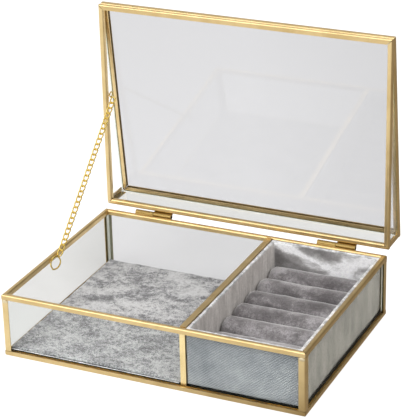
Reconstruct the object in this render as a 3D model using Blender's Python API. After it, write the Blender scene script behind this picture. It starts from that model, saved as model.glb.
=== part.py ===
"""Glass jewelry box with a ring tray, an open compartment and a wedge-shaped hinged lid.

Units are metres, +Z is up, +Y points to the back of the box and the origin is the centre of
the underside. The lid stands open at a right angle, where its stay chain is pulled straight.
The lid is modelled shut, in the frame of the empty "lid_pivot", which lies on the hinge axis.
"""
import math

import bmesh
import bpy
from mathutils import Matrix, Vector

# ---- driving dimensions -------------------------------------------------------------------
BOX_W = 0.200           # outer width, along X
BOX_D = 0.140           # outer depth, along Y
BASE_H = 0.042          # height of the base, table to rim
LID_BACK_H = 0.024      # height of the closed lid over its hinges
LID_OPEN_DEG = 90.0     # the stay chain stops the lid here

# ---- brass came ---------------------------------------------------------------------------
RAIL = 0.0032           # width of a base rail, and its height
WALL = 0.00055          # wall of a rail beside its glass slot
SLOT = 0.0022           # width of a glass slot
SLOT_DEPTH = 0.0019     # depth of a glass slot
LID_RAIL_W = 0.0034     # width of the lid's rim
LID_RAIL_H = 0.0030     # height of the lid's rim
LID_TOP_W = 0.0046      # width of the lid's sloping top frame
LID_TOP_H = 0.0038      # height of the lid's sloping top frame
CAME_ROUND = 0.0011     # rounding of a rail's outer edges
POST_LEG = 0.0044       # leg of a corner angle
POST_SKIN = 0.0005      # thickness of a corner angle
DIVIDER_W = 0.0036      # width of the divider's came

# ---- glass, board and velvet --------------------------------------------------------------
GLASS = 0.0016          # thickness of every pane
FIT = 0.0003            # clearance where two pieces meet
BOARD_H = 0.0022        # base board
PAD_H = 0.0026          # velvet pad on the floor of the open compartment
DIVIDER_X = 0.021       # middle plane of the divider
TRAY_WALL = 0.0020      # velvet-covered wall of the ring tray
TRAY_TOP = 0.0408       # rim of the ring tray
ROLL_COUNT = 7          # ring rolls
ROLL_TOP = 0.0275       # crest of a ring roll
ROLL_END_DROP = 0.0035  # how far a roll sinks at its two ends

# ---- hinges -------------------------------------------------------------------------------
HINGE_BACK = 0.0022     # hinge axis behind the back face
HINGE_X = 0.065         # middle of each hinge, left and right
KNUCKLE_L = 0.0128      # length of one tube
TUBE_R = 0.0017
BORE_R = 0.00095
PIN_R = 0.00065

# ---- stay chain ---------------------------------------------------------------------------
LINKS = (3, 4, 4, 4, 4, 4, 4, 3)                   # links in each stiff run, base to lid
LOWER_RUNS = 4                                     # runs that hang from the base
LOWER_X = -0.0949                                  # plane of the lower runs
UPPER_X = -0.0933                                  # plane of the upper runs
CHAIN_THICK = 0.0012
CHAIN_HALF_W = 0.0013                              # half width of a link
CHAIN_BASE_END = Vector((0.0, -0.0051, 0.0405))    # where the chain hangs on the base ring
CHAIN_LID_END = Vector((0.0, 0.0772, 0.1193))      # where it hangs on the lid ring, lid open
RING_WIRE = 0.00035
BASE_RING_AT = (-0.0082, 0.0371)                   # middle of the base ring, in (y, z)
BASE_RING_R = (0.0040, 0.0043)                     # its reach along Y and along Z
LID_RING_AT = (-0.0072, 0.0472)                    # middle of the lid ring, lid shut
LID_RING_R = (0.0021, 0.0021)

HALF_W, HALF_D = BOX_W / 2, BOX_D / 2
HINGE = Vector((0.0, HALF_D + HINGE_BACK, BASE_H))
GLASS_OUT = WALL + (SLOT - GLASS) / 2              # outer face of a pane, in from the rail face
GLASS_IN = GLASS_OUT + GLASS
RIM_Z = BASE_H + FIT                               # underside of the closed lid
TOP_Z = RIM_Z + LID_RAIL_H + FIT                   # underside of the lid's top frame, at the front
TOP_RISE = LID_BACK_H - LID_RAIL_H - LID_TOP_H - FIT
TOP_SLOPE = math.atan2(TOP_RISE, BOX_D)


# ---- materials ----------------------------------------------------------------------------
def material(name, colour, roughness, metallic=0.0, transmission=0.0):
    """A Principled material in one plain colour."""
    made = bpy.data.materials.new(name)
    made.use_nodes = True
    shader = made.node_tree.nodes["Principled BSDF"]
    shader.inputs["Base Color"].default_value = (*colour, 1.0)
    shader.inputs["Roughness"].default_value = roughness
    shader.inputs["Metallic"].default_value = metallic
    shader.inputs["Transmission Weight"].default_value = transmission
    return made


FINISHES = {
    "came_brass": ((0.78, 0.58, 0.28), 0.32, 1.0, 0.0),
    "hinge_brass": ((0.70, 0.50, 0.22), 0.30, 1.0, 0.0),
    "chain_brass": ((0.86, 0.62, 0.24), 0.22, 1.0, 0.0),
    "pin_brass": ((0.45, 0.33, 0.17), 0.45, 1.0, 0.0),
    "clear_glass": ((0.90, 0.93, 0.92), 0.03, 0.0, 0.9),
    "crushed_velvet": ((0.48, 0.48, 0.50), 0.75, 0.0, 0.0),
    "tray_velvet": ((0.36, 0.35, 0.34), 0.80, 0.0, 0.0),
    "roll_velvet": ((0.30, 0.28, 0.29), 0.80, 0.0, 0.0),
    "black_board": ((0.02, 0.02, 0.02), 0.85, 0.0, 0.0),
}


# ---- mesh helpers -------------------------------------------------------------------------
def finish_object(name, mesh_builder, finish, matrix=None, parent=None, smooth=0.0):
    """Turn a bmesh into the named object, with its faces pointing out."""
    bmesh.ops.recalc_face_normals(mesh_builder, faces=mesh_builder.faces)
    mesh = bpy.data.meshes.new(name)
    mesh_builder.to_mesh(mesh)
    mesh_builder.free()
    if smooth:
        mesh.shade_smooth()
        mesh.set_sharp_from_angle(angle=math.radians(smooth))
    mesh.materials.append(material(name + "_" + finish, *FINISHES[finish]))
    made = bpy.data.objects.new(name, mesh)
    bpy.context.scene.collection.objects.link(made)
    made.parent = parent
    if matrix is not None:
        made.matrix_local = matrix
    return made


def add_bevel(target, width, segments=1):
    """Round all the sharp edges of an object with a Bevel modifier."""
    bevel = target.modifiers.new("edge_round", "BEVEL")
    bevel.width = width
    bevel.segments = segments
    bevel.limit_method = "ANGLE"
    bevel.angle_limit = math.radians(40)


def bar(name, section, half_length, finish, matrix=None, parent=None, mitre=1.0):
    """A bar along local X whose section is (inward, up), with ends cut back by the mitre."""
    builder = bmesh.new()
    rings = []
    for side in (-1, 1):
        loop = []
        for inward, up in section:
            along = side * (half_length - mitre * inward - FIT / 2 * math.sqrt(2) * mitre)
            loop.append(builder.verts.new((along, inward, up)))
        rings.append(loop)
        builder.faces.new(loop)
    count = len(section)
    for i in range(count):
        j = (i + 1) % count
        builder.faces.new((rings[0][i], rings[0][j], rings[1][j], rings[1][i]))
    return finish_object(name, builder, finish, matrix, parent, smooth=35)


def slab(name, low, high, finish, parent=None, round_by=0.0, segments=1):
    """A flat piece between two corners, its edges eased by a bevel."""
    builder = bmesh.new()
    bmesh.ops.create_cube(builder, size=1.0)
    low, high = Vector(low), Vector(high)
    for vert in builder.verts:
        vert.co = Vector([low[k] + (vert.co[k] + 0.5) * (high[k] - low[k]) for k in range(3)])
    made = finish_object(name, builder, finish, parent=parent)
    if round_by:
        add_bevel(made, round_by, segments)
    return made


def plate(name, outline, low_x, high_x, finish, parent=None, round_by=0.0):
    """A flat plate between two X planes, from its outline in (y, z)."""
    builder = bmesh.new()
    low = [builder.verts.new((low_x, y, z)) for y, z in outline]
    high = [builder.verts.new((high_x, y, z)) for y, z in outline]
    builder.faces.new(low)
    builder.faces.new(high)
    for i in range(len(outline)):
        j = (i + 1) % len(outline)
        builder.faces.new((low[i], low[j], high[j], high[i]))
    made = finish_object(name, builder, finish, parent=parent)
    if round_by:
        add_bevel(made, round_by)
    return made


def ring(name, x, middle, radii, parent=None):
    """A closed wire ring in the plane x, with its middle and radii in (y, z)."""
    around, across = 24, 8
    centre = Vector((x, *middle))
    builder = bmesh.new()
    loops = []
    for i in range(around):
        turn = 2 * math.pi * i / around
        loop = []
        for j in range(across):
            tilt = 2 * math.pi * j / across
            reach = RING_WIRE * math.cos(tilt)
            offset = Vector((RING_WIRE * math.sin(tilt), (radii[0] + reach) * math.cos(turn),
                             (radii[1] + reach) * math.sin(turn)))
            loop.append(builder.verts.new(centre + offset))
        loops.append(loop)
    for i in range(around):
        for j in range(across):
            a, b = loops[i], loops[(i + 1) % around]
            k = (j + 1) % across
            builder.faces.new((a[j], a[k], b[k], b[j]))
    return finish_object(name, builder, "chain_brass", parent=parent, smooth=60)


# ---- sections -----------------------------------------------------------------------------
def corner_arc(centre_u, centre_v, start_deg, radius=CAME_ROUND, steps=4):
    """A quarter circle of points, from start_deg counterclockwise."""
    points = []
    for k in range(steps + 1):
        turn = math.radians(start_deg + 90.0 * k / steps)
        points.append((centre_u + radius * math.cos(turn), centre_v + radius * math.sin(turn)))
    return points


def channel_up(width, height):
    """A came section, open upwards for the lower edge of a pane."""
    r = CAME_ROUND
    floor = height - SLOT_DEPTH
    outline = corner_arc(r, r, 180) + corner_arc(width - r, r, 270)
    outline += [(width, height), (WALL + SLOT, height), (WALL + SLOT, floor), (WALL, floor)]
    return outline + [(WALL, height), (0.0, height)]


def channel_down(width, height):
    """A came section, open downwards for the upper edge of a pane."""
    return [(u, height - v) for u, v in channel_up(width, height)]


def channel_inward(width, height):
    """A came section with its slot on the inner side, for a pane lying in the frame."""
    r = CAME_ROUND
    low, high = (height - SLOT) / 2, (height + SLOT) / 2
    floor = width - SLOT_DEPTH
    outline = corner_arc(r, r, 180) + [(width, 0.0), (width, low), (floor, low), (floor, high)]
    return outline + [(width, high), (width, height)] + corner_arc(r, height - r, 90)


def solid_bar(width, height):
    """A plain bar section, rounded on its outer edges."""
    r = CAME_ROUND
    return corner_arc(r, r, 180) + [(width, 0.0), (width, height)] + corner_arc(r, height - r, 90)


# ---- frames -------------------------------------------------------------------------------
def around_box(z, half_depth=HALF_D, centre_y=0.0):
    """The four sides of a rectangular frame: name, half length and placing matrix."""
    return (
        ("front", HALF_W, Matrix.Translation((0, centre_y - half_depth, z))),
        ("back", HALF_W, Matrix.Translation((0, centre_y + half_depth, z))
         @ Matrix.Rotation(math.pi, 4, "Z")),
        ("right", half_depth, Matrix.Translation((HALF_W, centre_y, z))
         @ Matrix.Rotation(math.pi / 2, 4, "Z")),
        ("left", half_depth, Matrix.Translation((-HALF_W, centre_y, z))
         @ Matrix.Rotation(-math.pi / 2, 4, "Z")),
    )


def corner_angle(name, sign_x, sign_y, low_z, high_z, parent=None):
    """An L-shaped post that wraps a vertical glass corner from outside."""
    r = CAME_ROUND
    outline = [(POST_LEG, 0.0), (POST_LEG, POST_SKIN), (POST_SKIN, POST_SKIN)]
    outline += [(POST_SKIN, POST_LEG), (0.0, POST_LEG)] + corner_arc(r, r, 180)
    builder = bmesh.new()
    rings = []
    for z in (low_z, high_z):
        loop = []
        for in_x, in_y in outline:
            loop.append(builder.verts.new((sign_x * (HALF_W - in_x), sign_y * (HALF_D - in_y), z)))
        rings.append(loop)
        builder.faces.new(loop)
    for i in range(len(outline)):
        j = (i + 1) % len(outline)
        builder.faces.new((rings[0][i], rings[0][j], rings[1][j], rings[1][i]))
    return finish_object(name, builder, "came_brass", parent=parent)


def build_base_frame():
    """Bottom rails, top rails and the four corner posts of the base."""
    for side, half, place in around_box(0.0):
        bar("bottom_rail_" + side, channel_up(RAIL, RAIL), half, "came_brass", place)
    for side, half, place in around_box(BASE_H - RAIL):
        bar("top_rail_" + side, channel_down(RAIL, RAIL), half, "came_brass", place)
    for end, sign_y in (("front", -1), ("back", 1)):
        for side, sign_x in (("left", -1), ("right", 1)):
            corner_angle("corner_post_" + end + "_" + side, sign_x, sign_y,
                         RAIL + FIT, BASE_H - RAIL - FIT)


def build_base_glass():
    """The four panes of the base, standing in the slots of its rails."""
    low_z = RAIL - SLOT_DEPTH + FIT
    high_z = BASE_H - low_z
    out_x, in_x = HALF_W - GLASS_OUT, HALF_W - GLASS_IN
    out_y, in_y = HALF_D - GLASS_OUT, HALF_D - GLASS_IN
    ease = 0.00015
    slab("glass_front", (-out_x, -out_y, low_z), (out_x, -in_y, high_z), "clear_glass",
         round_by=ease)
    slab("glass_back", (-out_x, in_y, low_z), (out_x, out_y, high_z), "clear_glass",
         round_by=ease)
    side_y = in_y - FIT
    slab("glass_left", (-out_x, -side_y, low_z), (-in_x, side_y, high_z), "clear_glass",
         round_by=ease)
    slab("glass_right", (in_x, -side_y, low_z), (out_x, side_y, high_z), "clear_glass",
         round_by=ease)


def build_divider():
    """The glass divider between the two compartments, with its came on three sides."""
    end_y = HALF_D - RAIL - FIT
    low_z = BOARD_H + FIT
    section = [(u - DIVIDER_W / 2, v) for u, v in
               [(0.0, 0.0), (WALL + 0.0002, 0.0), (WALL + 0.0002, SLOT_DEPTH),
                (DIVIDER_W - WALL - 0.0002, SLOT_DEPTH), (DIVIDER_W - WALL - 0.0002, 0.0),
                (DIVIDER_W, 0.0), (DIVIDER_W, RAIL), (0.0, RAIL)]]
    place = (Matrix.Translation((DIVIDER_X, 0, BASE_H - RAIL)) @ Matrix.Rotation(math.pi / 2, 4, "Z"))
    bar("divider_rail", section, end_y, "came_brass", place, mitre=0.0)
    slab("glass_divider", (DIVIDER_X - GLASS / 2, -end_y, low_z),
         (DIVIDER_X + GLASS / 2, end_y, BASE_H - RAIL + SLOT_DEPTH - FIT), "clear_glass",
         round_by=0.00015)
    post_low, post_high = RAIL + FIT, BASE_H - RAIL - FIT
    for end, sign_y in (("front", -1), ("back", 1)):
        outer = HALF_D - GLASS_IN - FIT
        slot_floor = end_y + FIT
        inner = outer - RAIL
        wide, thin = DIVIDER_W / 2, GLASS / 2 + FIT
        outline = [(-wide, outer), (wide, outer), (wide, inner), (thin, inner),
                   (thin, slot_floor), (-thin, slot_floor), (-thin, inner), (-wide, inner)]
        builder = bmesh.new()
        loops = []
        for z in (post_low, post_high):
            loop = [builder.verts.new((DIVIDER_X + x, sign_y * y, z)) for x, y in outline]
            loops.append(loop)
            builder.faces.new(loop)
        for i in range(len(outline)):
            j = (i + 1) % len(outline)
            builder.faces.new((loops[0][i], loops[0][j], loops[1][j], loops[1][i]))
        finish_object("divider_post_" + end, builder, "came_brass")


# ---- board, pad and ring tray -------------------------------------------------------------
def build_floor():
    """The base board between the bottom rails, and the velvet pad lying on it."""
    edge_x, edge_y = HALF_W - RAIL - FIT, HALF_D - RAIL - FIT
    slab("base_board", (-edge_x, -edge_y, 0.0), (edge_x, edge_y, BOARD_H), "black_board",
         round_by=0.0002)
    pad_right = DIVIDER_X - DIVIDER_W / 2 - FIT
    low_z = BOARD_H + FIT
    slab("floor_pad", (-edge_x, -edge_y, low_z), (pad_right, edge_y, low_z + PAD_H),
         "crushed_velvet", round_by=0.0010, segments=2)


def tray_limits():
    """The outer corners of the ring tray."""
    low = Vector((DIVIDER_X + DIVIDER_W / 2 + FIT, -(HALF_D - RAIL - FIT), BOARD_H + FIT))
    high = Vector((HALF_W - RAIL - FIT, HALF_D - RAIL - FIT, TRAY_TOP))
    return low, high


def build_tray_shell():
    """The velvet-covered tray: four thin walls on a floor, open at the top."""
    low, high = tray_limits()
    wall = Vector((TRAY_WALL, TRAY_WALL, 0.0))
    inner_low, inner_high = low + wall, high - wall
    floor_z = low.z + TRAY_WALL
    builder = bmesh.new()
    rings = []
    for a, b, z in ((low, high, low.z), (low, high, high.z),
                    (inner_low, inner_high, high.z), (inner_low, inner_high, floor_z)):
        corners = ((a.x, a.y), (b.x, a.y), (b.x, b.y), (a.x, b.y))
        rings.append([builder.verts.new((x, y, z)) for x, y in corners])
    builder.faces.new(rings[0])
    builder.faces.new(rings[-1])
    for below, above in zip(rings, rings[1:]):
        for i in range(4):
            j = (i + 1) % 4
            builder.faces.new((below[i], below[j], above[j], above[i]))
    shell = finish_object("ring_tray", builder, "tray_velvet")
    add_bevel(shell, 0.0007, 2)


def roll_section(half_w, side_h, crown, steps=10):
    """Half-round roll section: flat base, short sides and a domed top, in (y, z)."""
    points = [(half_w, 0.0)]
    for k in range(steps + 1):
        turn = math.pi * k / steps
        points.append((half_w * math.cos(turn), side_h + crown * math.sin(turn)))
    return points + [(-half_w, 0.0)]


def build_ring_rolls():
    """The soft rolls that grip rings, side by side across the tray."""
    low, high = tray_limits()
    front, back = low.y + TRAY_WALL + FIT / 2, high.y - TRAY_WALL - FIT / 2
    left, right = low.x + TRAY_WALL + FIT, high.x - TRAY_WALL - FIT
    base_z = low.z + TRAY_WALL + FIT
    pitch = (back - front) / ROLL_COUNT
    half_w = (pitch - FIT) / 2
    crown = half_w
    side_h = ROLL_TOP - base_z - crown
    end_zone = 0.008
    stations = (0.0, 0.0015, 0.0035, 0.0055, end_zone)
    length = right - left
    for index in range(ROLL_COUNT):
        centre_y = front + pitch * (index + 0.5)
        builder = bmesh.new()
        loops = []
        for offset in stations + tuple(length - s for s in reversed(stations)):
            from_end = min(offset, length - offset)
            sink = ROLL_END_DROP * (1.0 - math.sqrt(1.0 - (1.0 - from_end / end_zone) ** 2))
            section = roll_section(half_w, side_h - sink, crown)
            loops.append([builder.verts.new((left + offset, centre_y + y, base_z + z))
                          for y, z in section])
        builder.faces.new(loops[0])
        builder.faces.new(loops[-1])
        count = len(loops[0])
        for a, b in zip(loops, loops[1:]):
            for i in range(count):
                j = (i + 1) % count
                builder.faces.new((a[i], a[j], b[j], b[i]))
        finish_object("ring_roll_%d" % (index + 1), builder, "roll_velvet", smooth=50)


# ---- lid ----------------------------------------------------------------------------------
def pivot_empty():
    """The empty on the hinge axis that carries the whole lid, turned open."""
    pivot = bpy.data.objects.new("lid_pivot", None)
    bpy.context.scene.collection.objects.link(pivot)
    pivot.location = HINGE
    pivot.rotation_euler = (-math.radians(LID_OPEN_DEG), 0.0, 0.0)
    return pivot


def top_plane_z(y):
    """Height of the underside of the closed lid's sloping top frame at depth y."""
    return TOP_Z + (y + HALF_D) * math.tan(TOP_SLOPE)


def build_lid(pivot):
    """The wedge lid: level rim, sloping top frame, two back posts and four panes."""
    shut = Matrix.Translation(-HINGE)
    for side, half, place in around_box(RIM_Z):
        section = solid_bar if side == "front" else channel_up
        bar("lid_rim_" + side, section(LID_RAIL_W, LID_RAIL_H), half, "came_brass",
            shut @ place, pivot)
    half_run = HALF_D / math.cos(TOP_SLOPE)
    tilt = (Matrix.Translation((0, -HALF_D, TOP_Z)) @ Matrix.Rotation(TOP_SLOPE, 4, "X"))
    for side, half, place in around_box(0.0, half_run, half_run):
        bar("lid_top_rail_" + side, channel_inward(LID_TOP_W, LID_TOP_H), half, "came_brass",
            shut @ tilt @ place, pivot)
    for side, sign_x in (("left", -1), ("right", 1)):
        post = corner_angle("lid_post_" + side, sign_x, 1, RIM_Z + LID_RAIL_H + FIT,
                            top_plane_z(HALF_D - POST_LEG) - FIT, pivot)
        post.matrix_local = shut
    build_lid_glass(pivot, shut, tilt, half_run)


def build_lid_glass(pivot, shut, tilt, half_run):
    """Top, back and two side panes of the lid."""
    low_z = RIM_Z + LID_RAIL_H - SLOT_DEPTH + FIT
    out_x, in_x = HALF_W - GLASS_OUT, HALF_W - GLASS_IN
    out_y, in_y = HALF_D - GLASS_OUT, HALF_D - GLASS_IN
    ease = 0.00015
    back = slab("lid_glass_back", (-out_x, in_y, low_z), (out_x, out_y, top_plane_z(in_y) - FIT),
                "clear_glass", parent=pivot, round_by=ease)
    back.matrix_local = shut
    front_y, back_y = -(HALF_D - LID_RAIL_W - FIT), in_y - FIT
    outline = ((front_y, low_z), (back_y, low_z), (back_y, top_plane_z(back_y) - 1.2 * FIT),
               (front_y, top_plane_z(front_y) - 1.2 * FIT))
    for side, low_x, high_x in (("left", -out_x, -in_x), ("right", in_x, out_x)):
        pane = plate("lid_glass_" + side, outline, low_x, high_x, "clear_glass", pivot, ease)
        pane.matrix_local = shut
    edge = LID_TOP_W - SLOT_DEPTH + FIT
    low_v = (LID_TOP_H - GLASS) / 2
    top = slab("lid_glass_top", (-HALF_W + edge, edge, low_v),
               (HALF_W - edge, 2 * half_run - edge, low_v + GLASS), "clear_glass",
               parent=pivot, round_by=ease)
    top.matrix_local = shut @ tilt


# ---- hinges -------------------------------------------------------------------------------
def knuckle(name, low_x, web, parent=None):
    """A hinge tube about the origin's X axis, with a solder web reaching the box.

    The web is a pair of (y, z) corners that stand out of the tube.
    """
    steps = 20
    low_turn, high_turn = (math.atan2(z, y) % (2 * math.pi) for y, z in web)
    outer = []
    for k in range(steps):
        turn = 2 * math.pi * k / steps
        if not low_turn - 0.2 < turn < high_turn + 0.2:
            outer.append((TUBE_R * math.cos(turn), TUBE_R * math.sin(turn)))
    outer += list(web)
    outer.sort(key=lambda point: math.atan2(point[1], point[0]) % (2 * math.pi))
    builder = bmesh.new()
    rings = []
    for x in (low_x, low_x + KNUCKLE_L):
        outside = [builder.verts.new((x, y, z)) for y, z in outer]
        inside = []
        for y, z in outer:
            turn = math.atan2(z, y)
            inside.append(builder.verts.new((x, BORE_R * math.cos(turn), BORE_R * math.sin(turn))))
        rings.append((outside, inside))
    count = len(outer)
    (out_a, in_a), (out_b, in_b) = rings
    for i in range(count):
        j = (i + 1) % count
        builder.faces.new((out_a[i], out_a[j], out_b[j], out_b[i]))
        builder.faces.new((in_a[i], in_a[j], in_b[j], in_b[i]))
        builder.faces.new((out_a[i], out_a[j], in_a[j], in_a[i]))
        builder.faces.new((out_b[i], out_b[j], in_b[j], in_b[i]))
    return finish_object(name, builder, "hinge_brass", parent=parent, smooth=40)


def build_hinges(pivot):
    """Two hinges, each a tube on the base, a tube on the lid and a pin through both."""
    reach = -(HINGE_BACK - FIT)
    base_web = ((reach, -0.0004), (reach, -0.0026))
    lid_web = ((reach, 0.0027), (reach, 0.0009))
    for side, middle in (("left", -HINGE_X), ("right", HINGE_X)):
        lower = knuckle("hinge_tube_base_" + side, middle - FIT / 2 - KNUCKLE_L, base_web)
        lower.location = HINGE
        knuckle("hinge_tube_lid_" + side, middle + FIT / 2, lid_web, pivot)
        builder = bmesh.new()
        place = Matrix.Rotation(math.pi / 2, 4, "Y")
        bmesh.ops.create_cone(builder, cap_ends=True, segments=12, radius1=PIN_R, radius2=PIN_R,
                              depth=2 * (KNUCKLE_L - 0.001), matrix=place)
        finish_object("hinge_pin_" + side, builder, "pin_brass",
                      Matrix.Translation(HINGE + Vector((middle, 0, 0))), smooth=40)


# ---- stay chain ---------------------------------------------------------------------------
def chain_joints():
    """The points between the chain's stiff runs, straight from the base to the lid."""
    total = sum(LINKS)
    span = CHAIN_LID_END - CHAIN_BASE_END
    passed = 0
    joints = [CHAIN_BASE_END]
    for count in LINKS:
        passed += count
        joints.append(CHAIN_BASE_END + span * passed / total)
    return joints


def run_outline(length, links):
    """Outline of one run along +Y from its joint: a waist between links, slim round ends."""
    tip, tip_r = 0.0011, 0.0006
    per_link = 6
    upper = []
    for k in range(per_link * links + 1):
        along = tip + (length - 2 * tip) * k / (per_link * links)
        link_wave = abs(math.sin(math.pi * along / (length / links)))
        from_end = min(along, length - along)
        limit = tip_r + 0.75 * (from_end - tip)
        upper.append((along, min(CHAIN_HALF_W * (0.62 + 0.38 * link_wave), limit)))
    cap = [(-math.cos(math.radians(t)), math.sin(math.radians(t))) for t in (60, 30, 0, -30, -60)]
    start = [(tip + tip_r * c, -tip_r * s) for c, s in cap]
    end = [(length - tip - tip_r * c, tip_r * s) for c, s in cap]
    lower = [(y, -z) for y, z in upper]
    return lower + end[::-1] + upper[::-1] + start[::-1]


def build_chain(pivot):
    """The stay chain in stiff runs, and the two wire rings that it hangs on."""
    joints = chain_joints()
    pitch_turn = math.atan2((joints[-1] - joints[0]).z, (joints[-1] - joints[0]).y)
    for index, links in enumerate(LINKS):
        start, end = joints[index], joints[index + 1]
        lower = index < LOWER_RUNS
        plane_x = LOWER_X if lower else UPPER_X
        outline = run_outline((end - start).length, links)
        origin, turn = (start, pitch_turn) if lower else (end, pitch_turn + math.pi)
        made = plate("chain_run_%d" % (index + 1), outline, -CHAIN_THICK / 2, CHAIN_THICK / 2,
                     "chain_brass")
        made.matrix_local = (Matrix.Translation((plane_x, origin.y, origin.z))
                             @ Matrix.Rotation(turn, 4, "X"))
    ring("chain_ring_base", -(HALF_W - RAIL - FIT - RING_WIRE), BASE_RING_AT, BASE_RING_R)
    lid_ring = ring("chain_ring_lid", -(HALF_W - LID_RAIL_W - FIT - RING_WIRE), LID_RING_AT,
                    LID_RING_R, pivot)
    lid_ring.matrix_local = Matrix.Translation(-HINGE)


def main():
    """Clear the scene and build the box."""
    for old in list(bpy.data.objects):
        bpy.data.objects.remove(old, do_unlink=True)
    build_base_frame()
    build_base_glass()
    build_divider()
    build_floor()
    build_tray_shell()
    build_ring_rolls()
    pivot = pivot_empty()
    build_lid(pivot)
    build_hinges(pivot)
    build_chain(pivot)
    bpy.context.view_layer.update()


main()
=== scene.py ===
"""Looks of the glass jewelry box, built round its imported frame.

Units are metres, +Z is up, +Y points to the back of the box and the lid stands open at rest.
"""
import logging
import math
from collections.abc import Callable
from dataclasses import dataclass
from enum import Enum
from functools import cache
from typing import Protocol

import bmesh
import bpy
from mathutils import Euler, Matrix, Vector


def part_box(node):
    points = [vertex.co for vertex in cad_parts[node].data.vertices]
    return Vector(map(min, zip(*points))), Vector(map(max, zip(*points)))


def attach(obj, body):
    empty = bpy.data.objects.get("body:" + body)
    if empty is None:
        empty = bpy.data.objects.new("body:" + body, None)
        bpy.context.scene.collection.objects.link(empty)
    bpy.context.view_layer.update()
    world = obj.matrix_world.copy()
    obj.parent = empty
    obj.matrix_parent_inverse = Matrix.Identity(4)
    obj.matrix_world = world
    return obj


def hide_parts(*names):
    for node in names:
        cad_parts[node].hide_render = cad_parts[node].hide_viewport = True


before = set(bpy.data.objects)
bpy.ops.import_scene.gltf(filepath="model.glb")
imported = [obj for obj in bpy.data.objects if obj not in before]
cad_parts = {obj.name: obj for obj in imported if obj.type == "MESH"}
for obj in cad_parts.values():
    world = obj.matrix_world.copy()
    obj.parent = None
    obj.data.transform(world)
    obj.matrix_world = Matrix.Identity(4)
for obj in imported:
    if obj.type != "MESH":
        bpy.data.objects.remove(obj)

LOG = logging.getLogger("jewelry_box")
ROUND, CRISP = 80.0, 40.0   # edges sharper than this stay sharp: on cloth and wire, on card
MM = 0.001
NEAR = 0.1 * MM             # corners this near a plane count as on it
FACING = (0.4, 0.7)         # how far a face looks along an axis, from hardly to fully
UPRIGHT = Euler((0, math.radians(90), 0)).to_matrix().to_4x4()
SIM_FRAMES = 20
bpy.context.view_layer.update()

Socket = bpy.types.NodeSocket
Tree = bpy.types.NodeTree
Object = bpy.types.Object
Colour = tuple[float, float, float]
Place = tuple[float, float, float]
Stops = tuple[tuple[float, Colour], ...]
Wave = tuple[float, float]
Feed = Socket | float | tuple
Test = Callable[[Vector, Vector], bool]


class Body(Enum):
    """The two bodies that are not part of the chain."""

    BASE = "base"
    LID = "lid"


class Part(Enum):
    """What a selection picks out of a mesh."""

    FACE = "FACE"
    EDGE = "EDGE"
    CORNER = "VERT"


class Run(Enum):
    """The way a strip of came was drawn, as the stretch of its brush marks."""

    ALONG_X = (0.03, 1.0, 1.0)
    ALONG_Y = (1.0, 0.03, 1.0)
    ALONG_Z = (1.0, 1.0, 0.03)


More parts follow.
